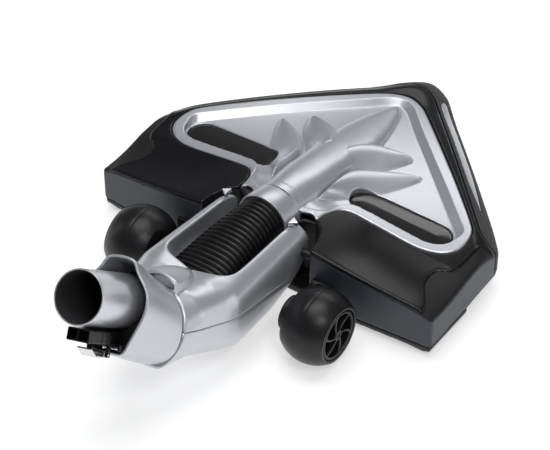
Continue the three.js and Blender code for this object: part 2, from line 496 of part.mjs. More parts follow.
// rounded box section: half width, bottom, top, in the plane y
function section(y, hw, z0, z1, p, n = 24, lean = 0) {
  const zc = (z0 + z1) / 2, hh = (z1 - z0) / 2, e = 2 / p, pts = [];
  for (let i = 0; i < n; i++) {
    const a = 2 * Math.PI * i / n, c = Math.cos(a), q = Math.sin(a);
    const zz = Math.sign(q) * Math.pow(Math.abs(q), e) * hh;
    pts.push(V3(Math.sign(c) * Math.pow(Math.abs(c), e) * hw, y + lean * zz, zc + zz));
  }
  return pts;
}
const circle = (cx, cv, r, s, n = 24) => Array.from({ length: n }, (_, i) => {
  const a = 2 * Math.PI * i / n;
  return swivel(cx + r * Math.cos(a), cv + r * Math.sin(a), s);
});
const yokeForm = loft([
  section(53, 33, 45, 61, 2.6), section(51.5, 36.6, 39, 65, 2.8), section(47, 38.4, 31, 70.5, 3.2), section(40, 39.4, 24, 74, 3.4), section(28, 40.2, 18.5, 75.2, 3.6),
  section(0, 42, 14.5, 77, 3.6), section(-36, 44, 15, 79.6, 3.6),
  section(-58, 43.5, 20, 82, 3.2, 24, 0.18), section(-82, 38, 32, 87.5, 2.5, 24, 0.42), deeRing(SWIVEL_RADIUS, SWIVEL_FLAT, -0.6),
]);
// space between the arms, open to the front, and the bore that narrows into the round socket
const yokeBay = loft([section(70, 27, -10, 100, 8, 16), section(20, 27.5, -10, 100, 8, 16), section(-28, 29.5, -10, 100, 8, 16), section(-40.5, 25, -10, 100, 5, 16)]);
const yokeBore = loft([section(-30, 28, 30, 74.5, 3, 24), section(-62, 27.5, 36, 76, 2.6, 24, 0.2), circle(0, 0, 22, -4, 24), circle(0, 0, 22, 4, 24)]);
const hollow = loft([section(44, 36, 32, 66, 3.2), section(28, 37.6, 22, 72, 4), section(0, 39.2, 17.4, 74, 4), section(-36, 41.2, 18, 76.6, 4),
  section(-56, 40.8, 23, 79, 3.4, 24, 0.18), section(-78, 35.6, 35, 84, 2.6, 24, 0.42), deeRing(30.4, 23.4, -8)]);
const bayWall = join(loft([section(60, 29.2, -20, 110, 8, 16), section(-28, 31.8, -20, 110, 8, 16), section(-44, 28, -20, 110, 5, 16)]),
  loft([section(-20, 30.2, 27.6, 76.8, 3, 24), section(-62, 29.7, 33.6, 78.4, 2.6, 24, 0.2), circle(0, 0, 24.2, -4, 24), circle(0, 0, 24.2, 4, 24)]));
// raised teardrop on the deck in front of the swivel
const teardrop = loft([[-47, 3, 77.5], [-52, 8, 82], [-60, 12.5, 86.6], [-68, 15, 91], [-74, 15.5, 94]].map(([y, w, z]) => {
  const pts = [];
  for (let i = 0; i <= 10; i++) { const a = Math.PI * i / 10; pts.push(V3(w * Math.cos(a), y - 0.35 * (z - 70) * Math.sin(a) * 0.5, z - 12 + 12 * Math.pow(Math.sin(a), 0.6))); }
  return pts;
}));
let yoke = cut(join(yokeForm, teardrop), yokeBay, yokeBore);
yoke = cut(yoke, cut(hollow, bayWall, rodX(-50, 50, PIVOT_Y, PIVOT_Z, 10, 20)));
yoke = cut(yoke, rodX(-50, 50, PIVOT_Y, PIVOT_Z, PIVOT_PIN_RADIUS + 0.05, 20));
// the two shells meet on a line that climbs towards the swivel
const seamZ = y => y > 23 ? 37.6 : y > -55 ? mix(37.6, 56.4, (23 - y) / 78) : mix(56.4, 71, (-55 - y) / 45);
const seamY = [60, 40, 23, 0, -27, -55, -78, -100, -140];
const yokeBlock = (up, g) => {
  const line = seamY.map(y => [y, seamZ(y) + (up ? g : -g)]);
  return prismX(up ? [...line, [-140, 160], [60, 160]].reverse() : [...line, [-140, -20], [60, -20]], -60, 60);
};
add('yoke_upper', yoke.intersect(yokeBlock(true, 0.15)), 'silver');
add('yoke_lower', yoke.intersect(yokeBlock(false, 0.15)), 'silver');

// pivot pins, with a retaining clip on the inside of each arm
for (const [side, s] of [['right', 1], ['left', -1]]) {
  add(`pivot_pin_${side}`, rodX(s * 26.2, s * 55.6, PIVOT_Y, PIVOT_Z, PIVOT_PIN_RADIUS, 20), 'steel');
}

// ribbed hose between the tunnel ring and the yoke
const hoseRing = (y, hw, z0, z1, p, d) => section(y, hw - d, z0 + d, z1 - d, p, 28);
const hoseStations = [[43.6, 19.9, 39.3, 79.1, 2], [20, 21.5, 37, 78.4, 2.2], [-5, 23.5, 35.5, 76.4, 2.7], [-30, 25.2, 34, 73, 3.1], [-52, 25, 38, 73, 3]];
add('neck_hose', cut(loft(hoseStations.map(s => hoseRing(...s, 0))),
  loft([[45, 19.9, 39.3, 79.1, 2], ...hoseStations.slice(1, 4), [-54, 25, 38, 73, 3]].map(s => hoseRing(...s, 2)))), 'rubber');

// swivel: fixed sleeve and gasket on the yoke side
const tubeS = (r0, r1, s0, s1, n = 28) => cut(loft([circle(0, 0, r0, s0, n), circle(0, 0, r0, s1, n)]), loft([circle(0, 0, r1, s0 - 1, n), circle(0, 0, r1, s1 + 1, n)]));
add('swivel_sleeve', tubeS(21.7, 19.9, -3.4, 15), 'dark');
add('swivel_gasket', tubeS(24.6, 22.3, -0.3, 0.6), 'rubber');

// ------------------------------------------------------------------ elbow (turns on the swivel line)
const RIM_HALF = [[0, -20.6], [9, -20.6], [12.6, -20.3], [14.4, -18.9], [16.2, -16.2], [17.1, -13.2], [18.4, -9.6], [21.9, -1.5], [25.4, 7.1], [26.7, 14.1], [26.6, 20.9],
  [24.8, 26.3], [21.6, 31.2], [17.8, 35.4], [15.2, 38.6], [13.6, 42], [11.6, 45], [8.6, 46.6], [4.5, 47.3], [0, 47.6]];
function resample(points, count) {
  const seg = [0];
  for (let i = 1; i < points.length; i++) seg.push(seg[i - 1] + Math.hypot(points[i][0] - points[i - 1][0], points[i][1] - points[i - 1][1]));
  const total = seg[seg.length - 1];
  return Array.from({ length: count + 1 }, (_, k) => {
    const t = total * k / count;
    let i = 1;
    while (i < seg.length - 1 && seg[i] < t) i++;
    const u = (t - seg[i - 1]) / (seg[i] - seg[i - 1]);
    return [mix(points[i - 1][0], points[i][0], u), mix(points[i - 1][1], points[i][1], u)];
  });
}
const rimRight = resample(RIM_HALF, 18);
const rim = [...rimRight, ...rimRight.slice(1, -1).reverse().map(p => [-p[0], p[1]])];
// section of the collar at distance s, drawn in by d all round
function collarRing(s, d, t = s / COLLAR_LENGTH) {
  const n = rim.length, loop = rim.map((p, i) => {
    const a = -Math.PI / 2 + 2 * Math.PI * i / n;
    const q = dee(a);
    return [mix(q[0], p[0], t), mix(q[1], p[1], t)];
  });
  return (d ? inset(loop, d) : loop).map(p => turned(p[0], p[1], s));
}
const collarForm = loft([collarRing(0.9, 0), collarRing(16, 0), collarRing(30, 0), collarRing(COLLAR_LENGTH, 0)]);
const ringAt = (cv, r, s, n = 28) => Array.from({ length: n }, (_, i) => { const a = -Math.PI / 2 + 2 * Math.PI * i / n; return turned(r * Math.cos(a), cv + r * Math.sin(a), s); });
const sleeveRoom = loft([ringAt(0, 22.1, -1), ringAt(0, 22.1, 17)]);
const socketRoom = loft([collarRing(16.9, 2.2), collarRing(30, 2), collarRing(COLLAR_LENGTH + 1, 1.8)]);
add('elbow_collar', cut(collarForm, sleeveRoom, socketRoom), 'silver');
const airWay = join(loft([ringAt(0, 19.4, 10), ringAt(0, 19.4, 18), ringAt(TUBE_OFFSET, 17.8, 30), ringAt(TUBE_OFFSET, 17.8, 50)]),
  loft([ringAt(TUBE_OFFSET, TUBE_RADIUS + 0.2, TUBE_START - 0.3), ringAt(TUBE_OFFSET, TUBE_RADIUS + 0.2, 70)]));
const insertForm = loft([collarRing(17.4, 2.7), collarRing(28, 2.5), collarRing(36, 2.4)]);
add('socket_insert', cut(insertForm, airWay), 'dark');
add('wand_stub', cut(loft([ringAt(TUBE_OFFSET, TUBE_RADIUS, TUBE_START), ringAt(TUBE_OFFSET, TUBE_RADIUS, TUBE_END)]),
  loft([ringAt(TUBE_OFFSET, TUBE_RADIUS - TUBE_WALL, TUBE_START - 1), ringAt(TUBE_OFFSET, TUBE_RADIUS - TUBE_WALL, TUBE_END + 1)])), 'tube');

// electrical connector under the stub: boxes are given as x, v (across) and s (along)
function swivelBox(x0, x1, v0, v1, s0, s1) {
  const g = new THREE.BoxGeometry(x1 - x0, v1 - v0, s1 - s0);
  g.translate((x0 + x1) / 2, (v0 + v1) / 2, (s0 + s1) / 2);
  const across = V3(COS_TURN, 0, 0).addScaledVector(UP, SIN_TURN), rise = V3(-SIN_TURN, 0, 0).addScaledVector(UP, COS_TURN);
  g.applyMatrix4(new THREE.Matrix4().makeBasis(across, rise, AX).setPosition(ORIGIN));
  return solid(g);
}
const LATCH_V = -20.4, LATCH_S = 53;
const latchAxle = r => rod(turned(-8.4, LATCH_V, LATCH_S), turned(8.4, LATCH_V, LATCH_S), r, r, 12);
const ears = join(swivelBox(6.4, 8.7, -22.2, -12.5, 51, 55), swivelBox(-8.7, -6.4, -22.2, -12.5, 51, 55), swivelBox(8, 14, -17, -13, 46.4, 49.6));
add('connector_block', cut(join(swivelBox(-8.75, 8.75, -13.3, -4.3, 36.3, 82.8), ears),
  swivelBox(-7.8, -0.8, -12, -5.2, 69, 84), swivelBox(0.8, 7.8, -12, -5.2, 69, 84), latchAxle(1.1), rod(turned(0, -15.2, 48), turned(13.2, -15.2, 48), 1.1, 1.1, 12)), 'black');
for (const [side, s] of [['right', 1], ['left', -1]]) {
  add(`contact_pin_${side}`, rod(turned(s * 4.3, -8.6, 69.2), turned(s * 4.3, -8.6, 74.6), 1.2, 1.2, 12), 'brass');
}
add('latch_axle', latchAxle(1), 'steel');
// flat arm of the latch, with its nose bent up towards the wand
const latchStation = (s, v0, v1) => [turned(-5.8, v0, s), turned(5.8, v0, s), turned(5.8, v1, s), turned(-5.8, v1, s)];
const latchArm = loft([latchStation(51.4, -22.8, -21.2), latchStation(65, -22.8, -21.2), latchStation(71.6, -18.2, -16.6)]);
add('latch', cut(join(latchArm, swivelBox(-5.8, 5.8, -22.4, -18.6, 51.4, 54.6)), latchAxle(1.05)), 'silver');
add('lock_pin', rod(turned(1.2, -15.2, 48), turned(13, -15.2, 48), 1, 1, 12), 'steel');

export default assembly;
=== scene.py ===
import math, json
import bpy
import numpy as np
from mathutils import Vector, Matrix


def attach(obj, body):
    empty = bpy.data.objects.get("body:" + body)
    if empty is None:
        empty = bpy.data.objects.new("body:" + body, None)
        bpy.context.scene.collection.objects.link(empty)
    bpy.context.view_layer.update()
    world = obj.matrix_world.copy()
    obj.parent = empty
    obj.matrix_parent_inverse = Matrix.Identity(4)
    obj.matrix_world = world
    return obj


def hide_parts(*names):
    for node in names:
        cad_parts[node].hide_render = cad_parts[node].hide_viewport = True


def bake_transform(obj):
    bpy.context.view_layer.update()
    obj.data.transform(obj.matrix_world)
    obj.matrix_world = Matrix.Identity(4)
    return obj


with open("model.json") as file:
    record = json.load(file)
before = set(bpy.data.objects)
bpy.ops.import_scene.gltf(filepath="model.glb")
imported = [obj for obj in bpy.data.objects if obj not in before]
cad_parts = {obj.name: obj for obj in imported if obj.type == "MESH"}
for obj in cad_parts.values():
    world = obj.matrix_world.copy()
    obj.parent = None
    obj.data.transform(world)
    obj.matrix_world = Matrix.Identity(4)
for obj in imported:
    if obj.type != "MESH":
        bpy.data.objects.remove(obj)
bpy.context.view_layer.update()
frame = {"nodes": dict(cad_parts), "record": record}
COARSE = 1.0
MID = -55.51                       # the model is laid out about the wheel axle, then moved along Y


# ------------------------------------------------------------------ camera
def make_camera():
    phi, e, roll = math.radians(35.0), math.radians(40.845), math.radians(-0.103)
    back = Vector((math.sin(phi) * math.cos(e), -math.cos(phi) * math.cos(e), math.sin(e)))
    right = Vector((math.cos(phi), math.sin(phi), 0))
    up = back.cross(right)
    r2 = math.cos(roll) * right + math.sin(roll) * up
    u2 = back.cross(r2)
    m = Matrix((r2, u2, back)).transposed().to_4x4()
    m.translation = Vector((0.70119, -0.99622, 1.0990))
    cam = bpy.data.cameras.new("camera")
    cam.sensor_width, cam.lens = 36.0, 141.30
    cam.clip_start, cam.clip_end = 0.05, 20
    o = bpy.data.objects.new("camera", cam)
    o.matrix_world = m
    bpy.context.scene.collection.objects.link(o)
    bpy.context.scene.camera = o


make_camera()


# ------------------------------------------------------------------ small kit
def clip01(t):
    return np.clip(t, 0, 1)


def smooth(t):
    t = clip01(t)
    return t * t * (3 - 2 * t)


def mix(a, b, t):
    return a + (b - a) * t


def smax(a, b, k):
    h = clip01(0.5 - 0.5 * (b - a) / k)
    return b + (a - b) * h + k * h * (1 - h)


def smin(a, b, k):
    return -smax(-a, -b, k)


def chaikin(pts, n=2, closed=True, cutoff=0.25):
    p = np.array(pts, float)
    for _ in range(n):
        q = np.roll(p, -1, 0)
        p = np.stack([mix(p, q, cutoff), mix(p, q, 1 - cutoff)], 1).reshape(-1, 2)
    return p


class Plan:
    """Signed distance to a closed outline in a plane, inside negative, kept on a fine grid."""

    def __init__(self, pts, pad=14, h=0.6, box=None):
        p = np.array(pts, float)
        lo, hi = (p.min(0) - pad, p.max(0) + pad) if box is None else (np.array(box[0], float), np.array(box[1], float))
        self.lo, self.h = lo, h
        n = np.ceil((hi - lo) / h).astype(int) + 1
        gx, gy = np.meshgrid(lo[0] + h * np.arange(n[0]), lo[1] + h * np.arange(n[1]), indexing="ij")
        d = np.full(gx.shape, 1e9)
        s = np.zeros(gx.shape, bool)
        for (ax, ay), (bx, by) in zip(p, np.roll(p, -1, 0)):
            ex, ey = bx - ax, by - ay
            L = ex * ex + ey * ey
            if L < 1e-12:
                continue
            wx, wy = gx - ax, gy - ay
            t = np.clip((wx * ex + wy * ey) / L, 0, 1)
            d = np.minimum(d, (wx - ex * t) ** 2 + (wy - ey * t) ** 2)
            c = (ay > gy) != (by > gy)
            if abs(ey) > 1e-12:
                s ^= c & (gx < ax + ex * (gy - ay) / ey)
        self.g = (np.sqrt(d) * np.where(s, -1, 1)).astype(np.float32)

    def __call__(self, x, y):
        u = np.clip((x - self.lo[0]) / self.h, 0, self.g.shape[0] - 1.001)
        v = np.clip((y - self.lo[1]) / self.h, 0, self.g.shape[1] - 1.001)
        i, j = u.astype(np.int32), v.astype(np.int32)
        u, v = u - i, v - j
        g = self.g
        return (g[i, j] * (1 - u) + g[i + 1, j] * u) * (1 - v) + (g[i, j + 1] * (1 - u) + g[i + 1, j + 1] * u) * v


class Line(Plan):
    """Distance to an open line."""

    def __init__(self, pts, pad=10, h=0.5):
        p = np.array(pts, float)
        lo, hi = p.min(0) - pad, p.max(0) + pad
        self.lo, self.h = lo, h
        n = np.ceil((hi - lo) / h).astype(int) + 1
        gx, gy = np.meshgrid(lo[0] + h * np.arange(n[0]), lo[1] + h * np.arange(n[1]), indexing="ij")
        d = np.full(gx.shape, 1e9)
        for (ax, ay), (bx, by) in zip(p[:-1], p[1:]):
            ex, ey = bx - ax, by - ay
            t = np.clip(((gx - ax) * ex + (gy - ay) * ey) / (ex * ex + ey * ey), 0, 1)
            d = np.minimum(d, (gx - ax - ex * t) ** 2 + (gy - ay - ey * t) ** 2)
        self.g = np.sqrt(d).astype(np.float32)


def field_values(f, lo, h, n, k=3):
    """Values of f on a grid; away from the surface only one value per block is worked out."""
    m = -(-n // k)
    n = m * k
    c = [lo[a] + h * (k * np.arange(m[a] + 1)) for a in range(3)]
    X, Y, Z = np.meshgrid(*c, indexing="ij")
    C = f(X.ravel(), Y.ravel(), Z.ravel()).reshape(X.shape)
    parts = [C[i:i + m[0], j:j + m[1], l:l + m[2]] for i in (0, 1) for j in (0, 1) for l in (0, 1)]
    lo8, hi8 = np.minimum.reduce(parts), np.maximum.reduce(parts)
    near = ((lo8 < 0) & (hi8 > 0)) | (np.minimum(np.abs(lo8), np.abs(hi8)) < k * h * 1.1)
    grown = near.copy()
    for ax in range(3):
        a = np.swapaxes(grown, 0, ax)
        b = a.copy()
        b[1:] |= a[:-1]
        b[:-1] |= a[1:]
        grown = np.swapaxes(b, 0, ax)
    F = np.repeat(np.repeat(np.repeat(C[:m[0], :m[1], :m[2]], k, 0), k, 1), k, 2).astype(np.float32)
    I = np.argwhere(grown)
    o = np.stack(np.meshgrid(*[np.arange(k)] * 3, indexing="ij"), -1).reshape(-1, 3)
    for s in range(0, len(I), 40000):
        G = (I[s:s + 40000, None, :] * k + o[None]).reshape(-1, 3)
        P = np.array(lo) + h * G
        F[G[:, 0], G[:, 1], G[:, 2]] = f(P[:, 0], P[:, 1], P[:, 2])
    return F


def nets(F, lo, h):
    """Surface nets: one vertex in each cell that the surface crosses, one quad across each crossed edge."""
    s = F < 0
    nx, ny, nz = F.shape
    tot = np.zeros((nx - 1, ny - 1, nz - 1), np.int8)
    for i in (0, 1):
        for j in (0, 1):
            for l in (0, 1):
                tot += s[i:nx - 1 + i, j:ny - 1 + j, l:nz - 1 + l]
    act = (tot > 0) & (tot < 8)
    ids = np.full(act.shape, -1, np.int32)
    I = np.argwhere(act)
    ids[act] = np.arange(len(I))
    pos, cnt = np.zeros((len(I), 3)), np.zeros(len(I))
    cor = [(i, j, l) for i in (0, 1) for j in (0, 1) for l in (0, 1)]
    val = {c: F[I[:, 0] + c[0], I[:, 1] + c[1], I[:, 2] + c[2]].astype(float) for c in cor}
    for a in cor:
        for ax in range(3):
            if a[ax]:
                continue
            b = tuple(a[k] + (k == ax) for k in range(3))
            fa, fb = val[a], val[b]
            x = (fa < 0) != (fb < 0)
            t = fa[x] / (fa[x] - fb[x])
            q = np.tile(np.array(a, float), (x.sum(), 1))
            q[:, ax] += t
            pos[x] += q
            cnt[x] += 1
    P = np.array(lo) + h * (I + pos / cnt[:, None])
    quads = []
    for ax in range(3):
        b, c = (ax + 1) % 3, (ax + 2) % 3
        sl0, sl1 = [slice(1, -1)] * 3, [slice(1, -1)] * 3
        sl0[ax], sl1[ax] = slice(0, -1), slice(1, None)
        s0, s1 = s[tuple(sl0)], s[tuple(sl1)]
        for flip in (False, True):
            E = np.argwhere((s0 != s1) & (s0 if not flip else s1))
            off = np.ones(3, int)
            off[ax] = 0
            E = E + off
            qs = []
            for db, dc in ((-1, -1), (0, -1), (0, 0), (-1, 0)):
                G = E.copy()
                G[:, b] += db
                G[:, c] += dc
                qs.append(ids[G[:, 0], G[:, 1], G[:, 2]])
            q = np.stack(qs, 1)
            quads.append(q[:, ::-1] if flip else q)
    return P, np.concatenate(quads)


def to_world(P):
    return (np.asarray(P, float) + [0, MID, 0]) * 0.001


def mesh_object(name, P, faces, mat, body=None, nodes=(), slot=None, sharp=None, world=False):
    me = bpy.data.meshes.new(name)
    P = np.asarray(P, float) if world else to_world(P)
    F = np.asarray(faces) if not isinstance(faces, list) else faces
    if isinstance(F, np.ndarray):
        k = F.shape[1]
        me.vertices.add(len(P))
        me.vertices.foreach_set("co", P.astype(np.float32).ravel())
        me.loops.add(F.size)
        me.loops.foreach_set("vertex_index", F.astype(np.int32).ravel())
        me.polygons.add(len(F))
        me.polygons.foreach_set("loop_start", np.arange(0, F.size, k, dtype=np.int32))
        me.update(calc_edges=True)
    else:
        me.from_pydata([tuple(p) for p in P], [], F)
    me.validate()
    me.polygons.foreach_set("use_smooth", np.ones(len(me.polygons), bool))
    if sharp:
        me.set_sharp_from_angle(angle=math.radians(sharp))
    me.materials.append(mat)
    o = bpy.data.objects.new(name, me)
    bpy.context.scene.collection.objects.link(o)
    if body:
        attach(o, body)
    if nodes:
        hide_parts(*nodes)
    return o


def carve(name, f, lo, hi, h, mat, body, nodes=(), slot=None, relax=0):
    h *= COARSE
    lo, hi = np.array(lo, float) - 2.1 * h, np.array(hi, float) + 2.1 * h
    n = np.ceil((hi - lo) / h).astype(int) + 1
    P, Q = nets(field_values(f, lo, h, n), lo, h)
    for _ in range(relax):
        e = 0.35 * h
        v = f(*P.T)
        g = np.stack([f(*(P + d).T) - f(*(P - d).T) for d in np.eye(3) * e], 1) / (2 * e)
        step = v / np.maximum((g * g).sum(1), 0.3)
        P = P - g * np.clip(step, -0.4 * h, 0.4 * h)[:, None]
    return mesh_object(name, P, Q, mat, body, nodes, slot)


def tri_free_lathe(profile, n, place, closed_profile=True):
    """Rings of the profile [(r, a)...] turned about an axis; place(r, angle, a) gives points."""
    pr = np.array(profile, float)
    ang = 2 * np.pi * np.arange(n) / n
    P, index, faces = [], [], []
    for r, a in pr:
        if r < 1e-6:
            index.append([len(P)] * n)
            P.append(place(0, 0.0, a))
        else:
            index.append(list(range(len(P), len(P) + n)))
            P.extend(place(r, t, a) for t in ang)
    m = len(pr)
    for i in range(m if closed_profile else m - 1):
        A, B = index[i], index[(i + 1) % m]
        for j in range(n):
            k = (j + 1) % n
            q = [A[j], A[k], B[k], B[j]]
            q = [v for c, v in enumerate(q) if v != q[c - 1]]
            if len(set(q)) > 2:
                faces.append(q)
    return np.array(P), faces


def fix_normals(o):
    import bmesh
    bm = bmesh.new()
    bm.from_mesh(o.data)
    bmesh.ops.recalc_face_normals(bm, faces=bm.faces)
    bm.to_mesh(o.data)
    bm.free()
    return o


def round_profile(pts, r=0.5, n=3):
    """Corners of a closed profile rounded by about r."""
    p, out = np.array(pts, float), []
    for i in range(len(p)):
        a, b, c = p[i - 1], p[i], p[(i + 1) % len(p)]
        if b[0] < 1e-6:
            out.append(b)
            continue
        u, v = a - b, c - b
        lu, lv = np.linalg.norm(u), np.linalg.norm(v)
        d = min(r, 0.45 * lu, 0.45 * lv)
        s, t = b + u / lu * d, b + v / lv * d
        for k in range(n + 1):
            w = k / n
            out.append((1 - w) ** 2 * s + 2 * w * (1 - w) * b + w * w * t)
    return out


def lathe_x(name, profile, y, z, mat, body, nodes, slot, n=96, r=0.4, sharp=40, flip=1):
    n = max(24, int(n / COARSE))
    P, F = tri_free_lathe(round_profile(profile, r) if r else profile, n,
                          lambda q, t, a: (flip * a, y + q * math.cos(t), z + q * math.sin(t)), profile[0][0] > 1e-6 or profile[-1][0] > 1e-6)
    return fix_normals(mesh_object(name, P, F, mat, body, nodes, slot, sharp))


TILT = math.radians(40)
AX = np.array([0, -math.cos(TILT), math.sin(TILT)])
UP = np.array([0, math.sin(TILT), math.cos(TILT)])
ORG = np.array([0, -100.8, 63.9])


def swivel(x, v, s):
    return ORG + np.array([1, 0, 0]) * x + UP * v + AX * s


TURN_C, TURN_S = math.cos(math.radians(13)), math.sin(math.radians(13))


def turned(x, v, s):
    """A point of the elbow, which stands turned on the swivel line."""
    return swivel(x * TURN_C - v * TURN_S, x * TURN_S + v * TURN_C, s)


def xvs(x, y, z):
    v, s = vs_of(y, z)
    return x * TURN_C + v * TURN_S, v * TURN_C - x * TURN_S, s


def box_of(x0, x1, v0, v1, s0, s1):
    q = np.array([turned(a, b, c) for a in (x0, x1) for b in (v0, v1) for c in (s0, s1)])
    return q.min(0), q.max(0)


def dee(a, r_=33.2, b=26.0, p=2.6):
    c, q = math.cos(a), math.sin(a)
    return (r_ * c, r_ * q) if q >= 0 else (math.copysign(abs(c) ** (2 / p), c) * r_, -(-q) ** (2 / p) * b)


def vs_of(y, z):
    """Across and along the swivel line."""
    dy, dz = y - ORG[1], z - ORG[2]
    return dy * UP[1] + dz * UP[2], dy * AX[1] + dz * AX[2]


def lathe_s(name, profile, cv, mat, body, nodes, slot, n=96, r=0.3, sharp=40, at=swivel):
    n = max(24, int(n / COARSE))
    P, F = tri_free_lathe(round_profile(profile, r) if r else profile, n,
                          lambda q, t, a: tuple(at(q * math.cos(t), cv + q * math.sin(t), a)), True)
    return fix_normals(mesh_object(name, P, F, mat, body, nodes, slot, sharp))


# ------------------------------------------------------------------ materials
def material(name, color, rough=0.4, metal=0.0, coat=0.0, coat_rough=0.1, grain=None, rough_var=None, color_var=None,
             streak=None, spec=0.5, transmission=0.0, scratches=0.0):
    """grain, rough_var and color_var are (scale per metre, strength)."""
    m = bpy.data.materials.new(name)
    m.use_nodes = True
    nt = m.node_tree
    b = nt.nodes["Principled BSDF"]
    link = nt.links.new
    b.inputs["Base Color"].default_value = (*color, 1)
    b.inputs["Roughness"].default_value = rough
    b.inputs["Metallic"].default_value = metal
    b.inputs["Coat Weight"].default_value = coat
    b.inputs["Coat Roughness"].default_value = coat_rough
    b.inputs["Specular IOR Level"].default_value = spec
    b.inputs["Transmission Weight"].default_value = transmission
    tc = nt.nodes.new("ShaderNodeTexCoord")

    def noise(scale, detail=3.0, rough_=0.55, stretch=None):
        n = nt.nodes.new("ShaderNodeTexNoise")
        n.inputs["Scale"].default_value = scale
        n.inputs["Detail"].default_value = detail
        n.inputs["Roughness"].default_value = rough_
        if stretch:
            mp = nt.nodes.new("ShaderNodeMapping")
            mp.inputs["Scale"].default_value = stretch
            if len(stretch) == 3 and name.startswith("wand"):
                mp.inputs["Rotation"].default_value = (-TILT, 0, 0)
            link(tc.outputs["Object"], mp.inputs["Vector"])
            link(mp.outputs["Vector"], n.inputs["Vector"])
        else:
            link(tc.outputs["Object"], n.inputs["Vector"])
        return n

    def ranged(n, lo, hi):
        r = nt.nodes.new("ShaderNodeMapRange")
        r.inputs["From Min"].default_value, r.inputs["From Max"].default_value = 0.3, 0.7
        r.inputs["To Min"].default_value, r.inputs["To Max"].default_value = lo, hi
        link(n.outputs["Fac"], r.inputs["Value"])
        return r

    if rough_var:
        r = ranged(noise(rough_var[0]), rough - rough_var[1], rough + rough_var[1])
        link(r.outputs["Result"], b.inputs["Roughness"])
    if color_var:
        r = ranged(noise(color_var[0], 4.0), 1 - color_var[1], 1 + color_var[1])
        mx = nt.nodes.new("ShaderNodeMix")
        mx.data_type, mx.blend_type = "RGBA", "MULTIPLY"
        mx.inputs["Factor"].default_value = 1
        mx.inputs[6].default_value = (*color, 1)
        link(r.outputs["Result"], mx.inputs[7])
        link(mx.outputs[2], b.inputs["Base Color"])
    last = None
    if grain:
        bp = nt.nodes.new("ShaderNodeBump")
        bp.inputs["Strength"].default_value = grain[1]
        bp.inputs["Distance"].default_value = grain[2] if len(grain) > 2 else 0.0001
        link(noise(grain[0], 2.0).outputs["Fac"], bp.inputs["Height"])
        last = bp
    if streak:
        bp = nt.nodes.new("ShaderNodeBump")
        bp.inputs["Strength"].default_value = streak[1]
        bp.inputs["Distance"].default_value = 0.00006
        link(noise(streak[0], 4.0, 0.6, streak[2]).outputs["Fac"], bp.inputs["Height"])
        if last:
            link(last.outputs["Normal"], bp.inputs["Normal"])
        last = bp
    if last:
        link(last.outputs["Normal"], b.inputs["Normal"])
    return m


M = {}
M["silver"] = material("silver_paint", (0.56, 0.57, 0.60), 0.34, 0.70, coat=0.15, coat_rough=0.22, grain=(2600, 0.10, 0.00005),
                       rough_var=(1800, 0.03), color_var=(3800, 0.03))
M["black"] = material("black_shell", (0.0040, 0.0040, 0.0050), 0.27, grain=(2200, 0.10, 0.00006), rough_var=(2400, 0.025), spec=0.26)
M["grained"] = material("grained_panel", (0.0045, 0.0045, 0.0055), 0.52, grain=(1500, 0.7, 0.00025), rough_var=(1200, 0.06), spec=0.34)
M["grey"] = material("grey_shell", (0.034, 0.039, 0.050), 0.44, grain=(2400, 0.22, 0.0001), rough_var=(1400, 0.04), color_var=(1800, 0.06), spec=0.4)
M["dark"] = material("dark_plastic", (0.006, 0.006, 0.007), 0.42, grain=(1800, 0.2, 0.0001), rough_var=(1200, 0.05), spec=0.35)
M["soft"] = material("soft_bumper", (0.034, 0.034, 0.036), 0.60, grain=(2200, 0.35, 0.00012), rough_var=(1200, 0.05), color_var=(1600, 0.05), spec=0.4)
M["rubber"] = material("hose_rubber", (0.0040, 0.0040, 0.0048), 0.30, grain=(1600, 0.12, 0.00008), rough_var=(1200, 0.05), spec=0.4)
M["tyre"] = material("tyre_rubber", (0.0050, 0.0050, 0.0060), 0.36, grain=(2000, 0.2, 0.00008), rough_var=(1400, 0.04), spec=0.36)
M["smoke"] = material("smoked_window", (0.036, 0.032, 0.034), 0.14, transmission=0.70, rough_var=(900, 0.02))
M["steel"] = material("bright_steel", (0.68, 0.68, 0.70), 0.18, 1.0, rough_var=(900, 0.05), grain=(2500, 0.08, 0.00004))
M["wand"] = material("wand_aluminium", (0.60, 0.61, 0.64), 0.30, 0.85, rough_var=(1400, 0.03), color_var=(2500, 0.02))
# painted shade: a dark, dull colour for the inside of the wand tube, standing in for the shade in the bore
M["bore"] = material("wand_bore_painted_shade", (0.050, 0.048, 0.052), 0.55, 0.2, rough_var=(1400, 0.04), color_var=(900, 0.08), spec=0.35)
M["black_steel"] = material("blackened_steel", (0.035, 0.035, 0.038), 0.38, 0.8, rough_var=(1200, 0.05), grain=(2500, 0.1, 0.00004))
M["bronze"] = material("bronze_bush", (0.42, 0.27, 0.12), 0.42, 0.9, grain=(2500, 0.3, 0.0001), color_var=(900, 0.12))
M["brass"] = material("contact_brass", (0.62, 0.45, 0.18), 0.24, 1.0, rough_var=(900, 0.06))
M["red"] = material("bristle_red", (0.36, 0.012, 0.008), 0.5, color_var=(1500, 0.25), rough_var=(900, 0.1))
M["board"] = material("circuit_green", (0.02, 0.10, 0.035), 0.4, color_var=(700, 0.3), grain=(900, 0.4, 0.0002))

CAD_FINISH = {"silver_paint": "silver", "black_shell": "black", "grey_shell": "grey", "dark_plastic": "dark", "soft_bumper": "soft",
              "rubber": "rubber", "tyre_rubber": "tyre", "smoked_window": "smoke", "steel": "steel", "wand_aluminium": "wand",
              "bronze": "bronze", "contact_brass": "brass", "bristle": "red", "board": "board"}
for sp in frame["record"]["subparts"]:
    o = frame["nodes"][sp["node"]]
    o.data.materials.clear()
    o.data.materials.append(M[CAD_FINISH[sp["material_slot"]]])


# ------------------------------------------------------------------ shared surfaces of the head (millimetres)
def plate_top(x, y):
    a = np.abs(x)
    return 74.354 - 0.073 * y - 0.3091 * a + 0.0005385 * a * a - 0.0001868 * y * y + 0.0011368 * a * y


